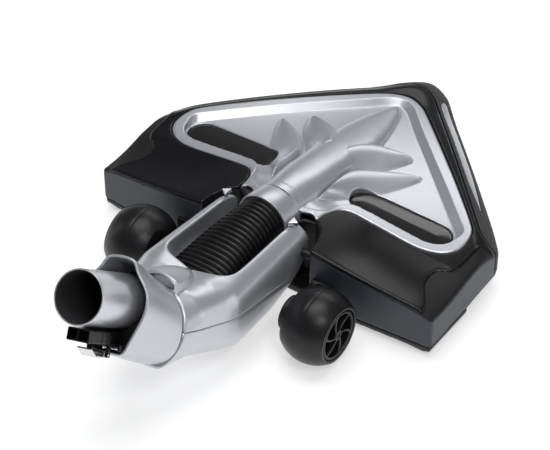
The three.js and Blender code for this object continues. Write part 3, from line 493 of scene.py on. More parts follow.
COSF = math.cos(math.atan(1.08))


def front_d(x, y):
    return (299 - 1.08 * np.sqrt(x * x + 64.0) - y) * COSF


def cover_top(x, y):
    a = np.abs(x)
    f, s = clip01((21 - front_d(x, y)) / 21), clip01((20 - (150 - a)) / 20)
    flute = np.where((y < 90) & (y > 40), 2.2 * np.sin(np.pi * (y - 40) / 50), 0) * smooth((a - 52) / 30)
    nose = 5.2 * smooth((y - 242) / 40) * smooth((64 - a) / 44)
    return plate_top(x, y) - 12 * f ** 1.6 - 4 * s * s - flute + nose


def arc(cx, cy, r, a0, a1, n):
    t = np.radians(np.linspace(a0, a1, n + 1))
    return [(cx + r * math.cos(q), cy + r * math.sin(q)) for q in t]


def closed(half):
    return list(half) + [(-x, y) for x, y in reversed(half) if abs(x) > 1e-6]


PH = 90 - math.degrees(math.atan(1.08))
HEAD = closed([(0, 52.5), (23.5, 52.5), (27.5, 60), (34.4, 63.6), (40, 59.5), (43.4, 54), (46.3, 46.5), (47.6, 38), (48.3, 35.2), (49.6, 34.4),
               (146, 41.2)] + arc(147, 44.3, 3, -86, 0, 6) + arc(141, 299 - 1.08 * 141 - 9 / COSF, 9, 0, PH, 8)
              + arc(0, 299 - 30 / COSF, 30, PH, 90, 14))
PLATE = closed([(0, 63.4), (21.5, 63.6), (24, 66), (27.5, 67.8), (31, 67.2), (33.9, 65.0), (34.6, 66.5), (34.9, 72), (36.2, 79), (39.4, 85.6), (44.4, 89.8), (52, 91.4), (77, 91.8), (101, 91.4),
                (111, 92.8), (120.5, 96.5), (128, 102.5), (131.8, 110.5), (131.9, 121), (129.3, 131), (123.8, 138), (110, 152),
                (88, 174), (79.6, 182.2), (53, 208), (28, 232.2), (20.5, 239.2), (14, 244), (7, 247.6), (0, 248.8)])
RECESS = closed([(0, 60), (34, 76), (36, 88), (39, 95), (44.6, 99.9), (52, 101.4), (101, 101.3), (109, 102), (116.5, 105.5),
                 (120.8, 110.5), (121.6, 116), (120.6, 123), (116, 128), (108.8, 134.5), (78.3, 163.6), (44.9, 195.4), (24, 216),
                 (10.6, 231), (5, 235.3), (0, 237)])
WINDOW = [(41, 102.6)] + arc(119.6 - 13, 115.6, 13, -90, 90, 16) + [(95, 128.6), (58, 127), (46, 124.4), (40.4, 121.6), (36.4, 117.6), (35.0, 112), (36.2, 106)]
BUMP = [(0, 268.4), (8, 266.8), (17, 260.6), (28, 249.2), (60, 214.6), (100, 171.4), (126, 143.8), (131, 138.6), (137, 134.4), (144, 132.4), (152, 131.8), (175, 131.8)]

head_plan = Plan(HEAD, 12, 0.6)
plate_plan = Plan(chaikin(PLATE, 2), 14, 0.5)
recess_plan = Plan(chaikin(RECESS, 2), 14, 0.5)
window_plan = Plan(chaikin(WINDOW, 1), 10, 0.4)
bump_plan = Plan([(-x, y) for x, y in reversed(BUMP) if x > 0] + BUMP + [(175, 300), (-175, 300)], 0, 0.7, box=((-160, 100), (160, 300)))

# ribs beside the tunnel, right side: front and rear edge of each, running out from under the tunnel to the tip
FIN_EDGES = [
    ([(3, 144), (5.7, 152.5), (10.3, 163), (16.7, 171), (25.4, 175.4), (34.3, 178.6), (43.5, 180.6), (47.6, 180.2)],
     [(11, 118), (19.9, 129), (25.7, 139.5), (36, 150), (43, 162), (47.3, 173), (48.6, 179.4)]),
    ([(20.0, 74), (20.2, 80), (20.4, 95), (19.6, 110), (20.5, 127), (26, 139), (40.4, 152), (54, 160.6), (63.4, 164.6), (65.4, 164.6)],
     [(20.4, 74), (21.6, 80), (24.4, 91), (33.6, 102), (41.6, 114), (49, 123), (57.3, 139), (63.4, 153), (66.2, 162.6)])]
fins = []
for front, rear in FIN_EDGES:
    fa, ra = chaikin(front, 2)[:-6], chaikin(rear, 2)[:-6]
    fins.append((Plan(list(fa) + list(ra)[::-1], 8, 0.4), Line(fa), Line(ra)))

TUN = np.array([(60, 21.4, 77.3), (64, 21.3, 76.6), (90, 20.2, 73.2), (120, 19.3, 68.4), (150, 19.3, 63), (175, 19.8, 57.8), (188, 17.6, 55.2),
                (202, 14.6, 52.3), (216, 10.6, 49.4), (225, 7.4, 47.6), (231, 3.4, 46.0), (234, 0.6, 44.6)])


def floor_top(x, y):
    d = recess_plan(x, y)
    w = mix(0.9, 5.6, smooth((y - 112) / 18))
    deep = mix(mix(0.7, 5.0, smooth((y - 74) / 24)), 5.0, smooth((np.abs(x) - 38) / 9))
    return plate_top(x, y) - deep * clip01(1 - d / w)


def tunnel_top(x, y):
    w, t = np.interp(y, TUN[:, 0], TUN[:, 1]), np.interp(y, TUN[:, 0], TUN[:, 2])
    base = plate_top(0, y) - 5.6
    u = np.abs(x) / w
    long_ = base + (t - base) * np.maximum(1 - u ** 2.15, 0) ** 0.56
    ring_ = t - w + w * np.sqrt(np.maximum(1 - u * u, 0))
    return np.where((u < 1) & (y < 234), mix(ring_, long_, smooth((y - 66) / 40)), -50.0)


def fin_top(x, y, fin, height, root, tip):
    a = np.abs(x)
    plan, front, rear = fin
    d = -plan(a, y)
    df, dr = front(a, y), rear(a, y)
    u = dr / np.maximum(dr + df, 1e-3)
    roll = np.sin(np.pi / 2 * clip01(u / 0.80)) ** 0.9
    wall = np.sqrt(np.maximum(1 - clip01((u - 0.80) / 0.20) ** 2.4, 0))
    fall = 1 - smooth((np.hypot(a, y - root) - 8) / tip) * 0.68
    lift = np.minimum(height * fall * np.where(u < 0.80, roll, wall), 0.2 + 2.6 * np.maximum(d, 0))
    return np.where(d > 0, plate_top(a, y) - 5.2 + lift, -50.0)


def plate_height(x, y):
    f = floor_top(x, y)
    t = tunnel_top(x, y)
    g = smax(f, t, 1.0)
    g = smax(g, fin_top(x, y, fins[0], 10.0, 148, 62), 1.0)
    return smax(g, fin_top(x, y, fins[1], 10.2, 100, 84), 0.35)


def plate_field(x, y, z):
    top = z - plate_height(x, y)
    f = smax(top, plate_plan(x, y), 1.5)
    f = smax(f, plate_top(x, y) - mix(2.5, 6.9, np.maximum(smooth((y - 73) / 6), smooth((21 - np.abs(x)) / 2))) - z, 0.4)
    f = smax(f, -(window_plan(np.abs(x), y) - 0.2), 0.9)
    bore = np.hypot(x, z - 57.3) - np.interp(y, [60, 70, 84, 100], [18.0, 17.2, 13, 8])
    f = smax(f, -np.maximum(bore, y - 99), 0.4)
    seam = np.maximum(np.abs(y - 72.4 + 0.05 * np.abs(x)) - 0.26, -(z - (plate_height(x, y) - 0.5)))
    seam = np.maximum(seam, np.abs(x) - 21.2)
    return smax(f, -seam, 0.25)


carve("face_plate_shell", plate_field, (-132.5, 63, 38), (132.5, 249.5, 78), 0.72, M["silver"], "head", ["face_plate"], "silver_paint")


# smoked windows: a shallow crowned pane in each opening
def pane_field(x, y, z):
    d = window_plan(np.abs(x), y) + 0.25
    crown = 0.9 * np.sqrt(clip01(-d / 12))
    f = smax(z - (plate_top(x, y) - 5.9 + crown), d, 0.6)
    return smax(f, plate_top(x, y) - 8.2 - z, 0.3)


for side, lo, hi in (("right", 34, 121), ("left", -121, -34)):
    carve(f"window_pane_{side}", pane_field, (lo, 101, 38), (hi, 130, 66), 0.6, M["smoke"], "head", [f"window_{side}"], "smoked_window")

# black cover
PANEL = chaikin([(129.6, 82), (127.3, 77), (126.8, 70.5), (128.4, 64.6), (133, 58), (137.4, 51.8), (140, 46.2), (142, 41.6), (142, 30), (170, 30), (170, 128),
                 (143, 128), (141.2, 118), (140.9, 104), (140.5, 94), (138.5, 88), (134.5, 84)], 2)
panel_plan = Plan(PANEL, 6, 0.4, box=((118, 24), (160, 140)))


def cover_height(x, y):
    p = panel_plan(np.abs(x), y)
    side_ = smooth((132 - y) / 8)
    drop = 0.95 * smooth(0.5 - p / 1.1) * side_
    bead = 0.38 * np.exp(-((p - 1.0) / 0.55) ** 2) * side_ * smooth((y - 42) / 6)
    return cover_top(x, y) - drop + bead


def cover_field(x, y, z):
    f = smax(z - cover_height(x, y), head_plan(x, y), 2.6)
    f = smax(f, cover_top(x, y) - 2.8 - z, 0.4)
    f = smax(f, -(plate_plan(x, y) - 0.45), 0.8)
    f = smax(f, -(bump_plan(x, y) - 0.55), 1.1)
    return smax(f, -np.maximum(np.abs(x) - 34.9, y - 66), 0.8)


cover = carve("top_cover_shell", cover_field, (-150, 34, 30), (150, 270.5, 77), 0.78, M["black"], "head", ["top_cover"], "black_shell")
cover.data.materials.append(M["grained"])
me = cover.data
cen = np.zeros(len(me.polygons) * 3, np.float32)
me.polygons.foreach_get("center", cen)
cen = cen.reshape(-1, 3) * 1000 - [0, MID, 0]
grained = (panel_plan(np.abs(cen[:, 0]), cen[:, 1]) < -0.2) & (cen[:, 1] < 128) & (np.abs(cen[:, 0]) > 124)
me.polygons.foreach_set("material_index", grained.astype(np.int32))


# bumper strip with a pocket for each badge
def badge_plan(x, y):
    a = np.abs(x)
    d = front_d(x, y)
    u = clip01((a - 22) / 98)
    halfw = 3.0 * np.sqrt(np.maximum(1 - (1 - clip01(u / 0.045)) ** 2, 0)) * (1 - clip01((u - 0.62) / 0.38) ** 1.7)
    return np.maximum(np.abs(d - 6.15) - halfw, np.maximum(22 - a, a - 120))


def bumper_height(x, y):
    return cover_top(x, y) + 0.1


def bumper_field(x, y, z):
    f = smax(z - bumper_height(x, y), head_plan(x, y), 2.2)
    f = smax(f, bump_plan(x, y) + 0.5, 0.9)
    f = smax(f, 17.2 - z, 0.8)
    inner = smax(head_plan(x, y) + 2.7, z - cover_top(x, y) + 3.4, 0.6)
    f = smax(f, -inner, 0.5)
    lip = np.abs(z - 24 - 0.0 * y) - 0.5
    pocket = np.maximum(badge_plan(x, y) - 0.3, cover_top(x, y) - 1.3 - z)
    return smax(f, -pocket, 0.4)


carve("bumper_soft", bumper_field, (-150, 130, 17), (150, 286, 52), 0.78, M["soft"], "head", ["bumper_strip"], "soft_bumper")


def badge_field(x, y, z):
    f = smax(z - (cover_top(x, y) + 0.15), badge_plan(x, y), 0.9)
    return smax(f, cover_top(x, y) - 1.05 - z, 0.2)


for side, lo, hi in (("right", 15, 124), ("left", -124, -15)):
    carve(f"badge_plain_{side}", badge_field, (lo, 150, 30), (hi, 280, 54), 0.5, M["silver"], "head", [f"badge_{side}"], "silver_paint")


# lower housing: a tub with its walls, brush slot, pin bosses and the notch for the yoke
def housing_top(x, y):
    return cover_top(x, y) - 3.1


def housing_field(x, y, z):
    hp = head_plan(x, y)
    a = np.abs(x)
    seam = 10.8 + 5.4 * smooth((y - 44) / 92)
    draft = 0.25 * clip01((z - seam) / 20)
    outer = hp + 0.15 - draft * 0.2 + 0.55 * smooth((seam + 0.3 - z) / 0.8) + 0.5 * clip01((12.6 - z) / 3)
    groove = 0.75 * np.exp(-((z - seam) / 0.55) ** 2)
    f = smax(outer + groove, z - housing_top(x, y), 0.7)
    f = smax(f, 10.75 - z, 0.6)
    f = smax(f, -smax(z - (seam - 3.2), np.maximum(-8 - hp, 97 - y), 0.3), 0.5)
    inner = smax(hp + 3.2, 13.4 - z, 0.6)
    f = smax(f, -inner, 0.5)
    slot = np.maximum(np.maximum(a - 131, np.abs(y - 118) - 23.6), z - 20)
    f = smax(f, -slot, 0.6)
    collar = np.maximum(np.hypot(x, z - 59.2 + 0.16 * (y - 44)) - 21.7, np.abs(y - 55) - 15)
    f = smax(f, -collar, 0.5)
    f = smax(f, -np.maximum(np.maximum(a - 21.7, np.abs(y - 49) - 9), 59 - z), 0.5)
    boss = np.maximum(np.maximum(np.abs(a - 52.4) - 3.6, np.abs(y - 41.2) - 4.8), np.abs(z - 48.1) - 6.1)
    f = smin(f, boss, 0.6)
    f = smax(f, -(np.maximum(np.hypot(y - 40, z - 50) - 3.1, a - 70)), 0.3)
    bump = np.maximum(bump_plan(x, y) - 0.3, 17 - z)
    f = smax(f, -np.maximum(bump, -(hp + 2.4)), 0.4)
    plate = np.maximum(plate_plan(x, y) - 0.4, plate_top(x, y) - 7.4 - z)
    f = smax(f, -plate, 0.4)
    ledge = np.maximum(np.maximum(np.abs(a - 62) - 9, np.abs(y - 34.6) - 1.2 - (a - 48) * 0.03), np.abs(z - 40) - 3.2)
    return f


tub = carve("lower_housing", housing_field, (-150, 33, 10.5), (150, 286, 62), 0.9, M["grey"], "head", ["base_housing"], "grey_shell")

# painted shade: the rear middle of the grey housing, between the pivot bosses and under the yoke, takes the dark
# plastic for the shade there
tub.data.materials.append(M["dark"])
cen = np.zeros(len(tub.data.polygons) * 3, np.float32)
tub.data.polygons.foreach_get("center", cen)
cen = cen.reshape(-1, 3) * 1000 - [0, MID, 0]
tub.data.polygons.foreach_set("material_index", ((np.abs(cen[:, 0]) < 49) & (cen[:, 1] < 66)).astype(np.int32))

# sole plate with pads, chamfers and screw pockets
SCREWS = [(-112, 60), (112, 60), (-78, 160), (78, 160)]


def sole_field(x, y, z):
    a = np.abs(x)
    f = smax(head_plan(x, y) + 0.9 + 0.6 * clip01((8.4 - z) / 3) + 7.2 * smooth((y - 94) / 8), z - 10.4, 0.5)
    f = smax(f, 5.5 - z, 0.6)
    pad1 = smax(smax(a - 144, np.abs(y - 66.5) - 20.5, 3), np.abs(z - 3.35) - 3.2, 1.2)
    pad2 = smax(smax(np.abs(y - 165) - 17, a - (128 - (y - 148) * 32 / 34), 3), np.abs(z - 3.35) - 3.2, 1.2)
    pad3 = smax(smax(np.abs(a - 139.25) - 4.75, np.abs(y - 98) - 13.8, 1.5), np.abs(z - 3.35) - 3.2, 1.2)
    f = smin(smin(smin(f, pad1, 0.8), pad2, 0.8), pad3, 0.8)
    ribs = np.maximum(np.maximum(np.abs(y - 58.5) - 1.2, np.abs(y - 58.5) - 1.2), np.maximum(a - 100, z - 0.9))
    f = smax(f, -ribs, 0.5)
    ribs2 = np.maximum(np.abs(y - 74.5) - 1.2, np.maximum(a - 100, z - 0.9))
    f = smax(f, -ribs2, 0.5)
    slot = np.maximum(np.maximum(a - 131, np.abs(y - 118) - 23.6), np.abs(z) - 22)
    f = smax(f, -slot, 1.0)
    for sx, sy in SCREWS:
        if sx > 0:
            r = np.hypot(a - sx, y - sy)
            f = smax(f, -np.maximum(r - 4.2, z - 3.2), 0.4)
            f = smax(f, -(r - 1.9), 0.3)
    return f


carve("sole_frame", sole_field, (-150, 33, 0), (150, 286, 10.4), 0.85, M["dark"], "head", ["sole_plate"], "dark_plastic")


def screw_piece(name, sx, sy):
    def f(x, y, z):
        dx, dy = x - sx, y - sy
        r = np.hypot(dx, dy)
        g = smin(smax(r - 3.6, np.abs(z - 1.85) - 1.05, 0.7), np.maximum(r - 1.6 - 0.15 * np.sin(z * 6.28 / 0.9), np.abs(z - 6.2) - 3.9), 0.2)
        cross = np.minimum(np.maximum(np.abs(dx) - 0.45, np.abs(dy) - 2.1), np.maximum(np.abs(dy) - 0.45, np.abs(dx) - 2.1))
        return smax(g, -np.maximum(cross, z - 2.0), 0.15)
    carve(name + "_crosshead", f, (sx - 4, sy - 4, 0.6), (sx + 4, sy + 4, 10.4), 0.24, M["steel"], "head", [name], "steel")


for i, (sx, sy) in enumerate(SCREWS):
    screw_piece(f"sole_screw_{i + 1}", sx, sy)

# bright ring at the tunnel mouth
P, F = tri_free_lathe(round_profile([(19.35, 44.1), (21.25, 44.1), (21.25, 63.5), (19.35, 63.5)], 0.5), max(32, int(128 / COARSE)),
                      lambda q, t, a: (q * math.cos(t), a, 59.2 - 0.16 * (a - 44) + q * math.sin(t)))
fix_normals(mesh_object("tunnel_lip", P, F, M["silver"], "head", ["tunnel_ring"], "silver_paint", 40))

# ------------------------------------------------------------------ roller
rng = np.random.default_rng(7)
for k in range(2):
    P, F = [], []
    count = 78
    for i in range(count):
        u = (i + 0.5) / count
        x = -121 + 232 * u
        a = math.pi * k + math.pi * 1.5 * abs(u * 20 - 10) / 10
        for w in range(3):
            da, dx = rng.normal(0, 0.05), rng.normal(0, 0.5)
            rr, tip = 0.85, 18.3 - rng.random() * 0.6
            b0 = len(P)
            for r_, grow in ((11.6, 1.0), (15.5, 1.05), (tip, 1.25), (tip + 0.1, 0.9)):
                for j in range(6):
                    t = 2 * math.pi * j / 6
                    ang = a + (w - 1) * 0.085 + da * (r_ - 11.6) / 7 + grow * rr * math.sin(t) / r_
                    P.append((x + dx * (r_ - 11.6) / 7 + grow * rr * math.cos(t), 118 + r_ * math.cos(ang), 20 + r_ * math.sin(ang)))
            for s in range(3):
                for j in range(6):
                    A, B = b0 + s * 6 + j, b0 + s * 6 + (j + 1) % 6
                    F.append([A, B, B + 6, A + 6])
            F.append([b0 + j for j in range(6)][::-1])
            F.append([b0 + 18 + j for j in range(6)])
    fix_normals(mesh_object(f"bristle_tufts_{k + 1}", P, F, M["red"], "brush", [f"bristle_row_{k + 1}"], "bristle", 50))
lathe_x("roller_core", [(0, -134.8), (2.9, -134.8), (2.9, -127), (12.4, -127), (12.6, -125), (12.6, 113), (12.3, 114.9), (2.9, 114.9), (2.9, 134.8), (0, 134.8)],
        118, 20, M["dark"], "brush", ["brush_roller"], "dark_plastic", 64)

# ------------------------------------------------------------------ wheels
WX, WR = 79.8, 28.9
for side, s in (("right", 1), ("left", -1)):
    prof = [(3.1, 62.3)]
    a0, a1 = math.asin((62.2 - WX) / WR), math.asin((98.4 - WX) / WR)
    ball = []
    for i in range(45):
        a = a0 + (a1 - a0) * i / 44
        r, x = WR * math.cos(a), WX + WR * math.sin(a)
        g = 0.28 * math.exp(-((x - 78.6) / 0.35) ** 2)
        ball.append((r - g, x))
    P, F = tri_free_lathe([(3.1, 62.3), (14, 62.3), (ball[0][0] - 0.8, 62.25)] + ball + [(21.4, 98.4), (20.3, 98.0), (20.0, 97.0), (20.0, 88.1), (3.1, 88.1)],
                          max(48, int(128 / COARSE)), lambda q, t, a: (s * a, q * math.cos(t), WR + q * math.sin(t)))
    fix_normals(mesh_object(f"wheel_tyre_{side}", P, F, M["tyre"], f"wheel_{side}", [f"wheel_ball_{side}"], "tyre_rubber", 40))

    def hub_field(x, y, z, s=s):
        X, r, t = s * x, np.hypot(y, z - WR), np.arctan2(z - WR, y)
        disc = smax(r - 19.6, np.abs(X - 93.2) - 4.8, 0.8)
        rim = smax(np.abs(r - 18.3) - 1.3, np.abs(X - 93.2) - 4.8, 0.8)
        sweep = t + 0.035 * (r - 4)
        k = (sweep / (np.pi / 3)) - np.round(sweep / (np.pi / 3))
        spoke = np.abs(k) * (np.pi / 3) * r - (0.75 + 0.03 * r)
        spoke = smax(smax(spoke, np.abs(X - 94.2) - 3.5, 0.7), r - 18.6, 0.2)
        cap = smax(r - 4.2, np.abs(X - 93.6) - 4.3, 0.9)
        plate = smax(r - 19.0, np.abs(X - 89.6) - 1.1, 0.3)
        f = smin(smin(smin(rim, spoke, 0.9), cap, 0.9), plate, 0.5)
        f = smax(f, -np.maximum(r - 3.1, X - 93.2), 0.2)
        return smax(f, -np.maximum(r - 1.9, 97.2 - X), 0.3)

    carve(f"wheel_spokes_{side}", hub_field, (min(s * 88, s * 98.4), -20, WR - 20), (max(s * 88, s * 98.4), 20, WR + 20), 0.42, M["dark"],
          f"wheel_{side}", [f"wheel_hub_{side}"], "dark_plastic")

    def bracket_field(x, y, z, s=s):
        X = s * x
        foot = smax(smax(np.abs(X - 61.75) - 8.2, np.abs(y - 32.6) - 1.7, 0.6), np.abs(z - 25.2) - 11.2, 1.2)
        lo = np.interp(y, [0, 16, 33], [20, 16, 14.5])
        arm = smax(smax(np.abs(X - 56.2) - 2.4, np.maximum(lo - z, z - 36), 1.0), np.maximum(-y, y - 33.6), 0.3)
        eye = smax(np.hypot(y, z - WR) - 13.5, np.abs(X - 57.2) - 3.4, 1.0)
        ring = smax(np.abs(np.hypot(y, z - WR) - 11) - 1.2, np.abs(X - 60.2) - 0.6, 0.4)
        f = smin(smin(smin(foot, arm, 2.2), eye, 2.2), ring, 0.3)
        return smax(f, -(np.hypot(y, z - WR) - 3.05), 0.3)

    carve(f"wheel_fork_{side}", bracket_field, (min(s * 53, s * 71), -14, 13), (max(s * 53, s * 71), 35, 43), 0.6, M["dark"],
          "head", [f"wheel_bracket_{side}"], "dark_plastic")
    lathe_x(f"wheel_pin_{side}", [(0, 54.1), (2.9, 54.1), (2.9, 92.9), (0, 92.9)], 0, WR, M["steel"], "head", [f"wheel_axle_{side}"], "steel", 40, flip=s)


# ------------------------------------------------------------------ yoke
class Loft:
    """Rounded-box sections along Y, each plane leaning by its own amount; read from maps over (y, z)."""

    def __init__(self, rows, blur, box, h=0.8):
        r = np.array(rows, float)                      # Y, half width, centre z, half height, power, lean
        d = np.r_[0, np.cumsum(np.hypot(np.diff(r[:, 0]), np.diff(r[:, 2])) + 1e-6)]
        n = int(d[-1] / 0.5) + 1
        t = np.linspace(0, d[-1], n)
        c = np.stack([np.interp(t, d, r[:, i]) for i in range(6)], 1)
        w = max(1, int(blur / 0.5))
        ker = np.hanning(2 * w + 3)[1:-1]
        ker /= ker.sum()
        pad = len(ker) // 2
        for i in range(6):
            ext = np.r_[2 * c[0, i] - c[pad:0:-1, i], c[:, i], 2 * c[-1, i] - c[-2:-pad - 2:-1, i]]
            c[:, i] = np.convolve(ext, ker, "valid")
        lo, hi = np.array(box[0], float), np.array(box[1], float)
        self.lo, self.h = lo, h
        m = np.ceil((hi - lo) / h).astype(int) + 1
        gy, gz = np.meshgrid(lo[0] + h * np.arange(m[0]), lo[1] + h * np.arange(m[1]), indexing="ij")
        best, at = np.full(gy.shape, 1e9), np.zeros(gy.shape)
        for i in range(len(c)):
            e = np.abs(c[i, 0] + c[i, 5] * (gz - c[i, 2]) - gy)
            b = e < best
            best[b], at[b] = e[b], i
        i = np.clip(at.astype(int), 0, len(c) - 2)
        for _ in range(2):
            g0 = c[i, 0] + c[i, 5] * (gz - c[i, 2]) - gy
            g1 = c[i + 1, 0] + c[i + 1, 5] * (gz - c[i + 1, 2]) - gy
            back_ = (g0 * g1 > 0) & (np.abs(g0) < np.abs(g1)) & (i > 0)
            i = np.where(back_, i - 1, i)
        g0 = c[i, 0] + c[i, 5] * (gz - c[i, 2]) - gy
        g1 = c[i + 1, 0] + c[i + 1, 5] * (gz - c[i + 1, 2]) - gy
        u = np.clip(g0 / np.where(np.abs(g0 - g1) < 1e-6, 1, g0 - g1), 0, 1)
        self.maps = [mix(c[i, k], c[i + 1, k], u).astype(np.float32) for k in (1, 2, 3, 4)]
        f0, f1 = c[0, 0] + c[0, 5] * (gz - c[0, 2]) - gy, c[-1, 0] + c[-1, 5] * (gz - c[-1, 2]) - gy
        self.maps.append((np.maximum(-f0, f1) * math.cos(math.atan(0.3))).astype(np.float32))

    def sample(self, y, z):
        u = np.clip((y - self.lo[0]) / self.h, 0, self.maps[0].shape[0] - 1.001)
        v = np.clip((z - self.lo[1]) / self.h, 0, self.maps[0].shape[1] - 1.001)
        i, j = u.astype(np.int32), v.astype(np.int32)
        u, v = u - i, v - j
        return [(g[i, j] * (1 - u) + g[i + 1, j] * u) * (1 - v) + (g[i, j + 1] * (1 - u) + g[i + 1, j + 1] * u) * v for g in self.maps]

    def __call__(self, x, y, z):
        hw, zc, hh, p, ends = self.sample(y, z)
        r = (np.abs(x / hw) ** p + np.abs((z - zc) / hh) ** p) ** (1 / p)
        L = np.hypot(x, z - zc)
        return L * (1 - 1 / np.maximum(r, 1e-3)), ends


def sec(y, hw, z0, z1, p, lean=0):
    return (y, hw, (z0 + z1) / 2, (z1 - z0) / 2, p, lean)


def ring(r, s):
    return (ORG[1] + AX[1] * s, r, ORG[2] + AX[2] * s, r * math.cos(TILT), 2, math.tan(TILT))


BOX2 = ((-150, 0), (62, 130))
yoke_form = Loft([sec(53.4, 32.4, 46, 60, 2.4), sec(52, 36.2, 40, 65, 2.6), sec(48, 38.3, 32, 70.2, 3.0), sec(40, 39.4, 24, 74, 3.4), sec(28, 40.2, 18.5, 75.2, 3.6),
                  sec(0, 42, 14.5, 77, 3.7), sec(-36, 43.8, 15, 79.6, 3.7), sec(-46, 44.2, 16.6, 80.6, 3.5, 0.08), sec(-58, 42.6, 22.4, 82, 3.0, 0.2),
                  sec(-82, 37.4, 35, 87.4, 2.4, 0.42), ring(33.2, -0.7)], 3.0, BOX2)
HUMP = chaikin([(0, -45.8), (4.5, -48.2), (9.5, -53), (13.4, -59.5), (15.4, -66), (16, -72), (16, -84), (-16, -84), (-16, -72), (-15.4, -66), (-13.4, -59.5), (-9.5, -53), (-4.5, -48.2)], 1)
hump_plan = Plan(HUMP, 10, 0.4)
BAY = closed([(0, -41.2), (12, -41), (21, -39.2), (26.6, -35.4), (29.3, -29), (29.0, -12), (28.2, 10), (27.6, 30), (27.4, 70)])
bay_plan = Plan(chaikin(BAY, 2), 12, 0.5)
bore = Loft([sec(-26, 27.6, 30, 74.5, 3), sec(-62, 27, 36, 75.4, 2.6, 0.2), ring(22.1, -4), ring(22.1, 5)], 2.0, BOX2)


def yoke_body(x, y, z):
    valley = 5.2 * np.exp(-(x / 20.0) ** 2) * smooth((-y - 26) / 14) * smooth((86 + y) / 26)
    valley = np.where(z > 55, valley, 0)
    f, ends = yoke_form(x, y, z + valley)
    f = smax(f, ends, 1.2)
    v, s = vs_of(y, z)
    rise = np.interp(-y, [40, 47, 52, 60, 68, 74, 80], [74.0, 77.8, 82, 86.6, 91, 94, 96.5]) - 0.014 * x * x
    deck = np.interp(-y, [46, 60, 74], [77, 81, 85])
    hump = smax(hump_plan(x, y) + 0.5 * np.maximum(z - deck, -7), z - rise, 0.9)
    hump = smax(hump, 66 - z, 1)
    f = smin(f, hump, 1.1)
    f = smax(f, -v - 24.6 - 0.04 * np.maximum(-s, 0), 5)
    f = smax(f, s + 0.6, 0.6)
    pocket = smax(smax(np.abs(x) - 12.3, v - (37.9 - 0.022 * x * x), 2.0), np.maximum(30.4 + 0.012 * x * x - v, np.maximum(-13 - s, s - 2)), 0.8)
    f = smax(f, -pocket, 0.5)
    f = smax(f, -smax(bay_plan(x, y), np.maximum(-60 - y, y - 60), 0.3), 3.0)
    b, e = bore(x, y, z)
    f = smax(f, -smax(b, e, 0.5), 0.9)
    return smax(f, -(np.hypot(y - 40, z - 50) - 3.08), 0.3)


def seam_z(y):
    return np.interp(-y, [-60, -23, 55, 100, 140], [37.6, 37.6, 56.4, 71, 84])


def upper_field(x, y, z):
    return smax(yoke_body(x, y, z), seam_z(y) + 0.22 - z, 0.75)


def lower_field(x, y, z):
    step = 0.35 * smooth((np.abs(x) - 30) / 4)
    return smax(yoke_body(x, y, z) + step * smooth((seam_z(y) - z) / 0.5) * smooth((z - seam_z(y) + 3.4) / 2.5), z - seam_z(y) + 0.22, 0.75)


carve("yoke_shell_upper", upper_field, (-45, -126, 36), (45, 55, 97), 0.66, M["silver"], "yoke", ["yoke_upper"], "silver_paint")
carve("yoke_shell_lower", lower_field, (-45, -128, 13), (45, 55, 76), 0.72, M["silver"], "yoke", ["yoke_lower"], "silver_paint")
for side, s in (("right", 1), ("left", -1)):
    lathe_x(f"pivot_bolt_{side}", [(0, 26.3), (2.95, 26.3), (2.95, 55.5), (0, 55.5)], 40, 50, M["black_steel"], "head", [f"pivot_pin_{side}"], "steel", 48, flip=s)

# bright wedge let into the inner edge of each arm tip
for side, s in (("right", 1), ("left", -1)):
    wedge = [(27.9, 45.2), (34.2, 41.0), (30.4, 38.4), (28.0, 36.6)]
    P = [(s * x, y, z) for z in (71.5, 75.3) for x, y in wedge]
    F = [[3, 2, 1, 0], [4, 5, 6, 7]] + [[i, (i + 1) % 4, (i + 1) % 4 + 4, i + 4] for i in range(4)]
    o = fix_normals(mesh_object(f"arm_wedge_{side}", P, F, M["steel"], "yoke", (), "steel", 30))
    bv = o.modifiers.new("edge", "BEVEL")
    bv.width, bv.segments = 0.0005, 3

# ribbed hose, curved to follow the neck
ST = np.array([(44.6, 19.2, 59.2, 19.2, 2.0), (38, 19.9, 58.9, 19.9, 2.0), (20, 21.5, 57.7, 20.6, 2.2), (-5, 23.5, 56, 20.4, 2.7), (-30, 25.2, 53.8, 19.4, 3.1), (-50, 25, 55.5, 17.5, 3.0)])
RIBS, HN = 21, max(40, int(112 / COARSE))
per = 8
rows = []
for i in range(RIBS * per + 1):
    u = i / (RIBS * per)
    y = 44.6 - 94.6 * u
    w, zc, hh, p = [np.interp(-y, -ST[:, 0], ST[:, k]) for k in range(1, 5)]
    wave = 0.5 + 0.5 * math.cos(2 * math.pi * i / per)
    d = 2.5 * (1 - wave ** 0.75)
    rows.append((y, w - d - 0.15, zc, hh - d - 0.15, p))
inner = [(y, w - 1.5, zc, hh - 1.5, p) for y, w, zc, hh, p in rows[::-1]]
P = []
for y, w, zc, hh, p in rows + inner:
    for j in range(HN):
        a = 2 * math.pi * j / HN
        c, q = math.cos(a), math.sin(a)
        P.append((math.copysign(abs(c) ** (2 / p), c) * w, y, zc + math.copysign(abs(q) ** (2 / p), q) * hh))
m = len(rows) * 2
F = [[i * HN + j, i * HN + (j + 1) % HN, ((i + 1) % m) * HN + (j + 1) % HN, ((i + 1) % m) * HN + j] for i in range(m) for j in range(HN)]
hose = fix_normals(mesh_object("ribbed_hose", P, F, M["rubber"], None, (), "rubber"))
tuple(to_world([0, 43, 58]))
tuple(to_world([0, -8, 58]))
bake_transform(hose)
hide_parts("neck_hose")

# ------------------------------------------------------------------ swivel and elbow
lathe_s("swivel_tube", [(19.95, -3.3), (21.65, -3.3), (21.65, 14.9), (19.95, 14.9)], 0, M["dark"], "yoke", ["swivel_sleeve"], "dark_plastic")
lathe_s("swivel_seal", [(22.35, -0.25), (24.55, -0.25), (24.55, 0.55), (22.35, 0.55)], 0, M["rubber"], "yoke", ["swivel_gasket"], "rubber", r=0.15)

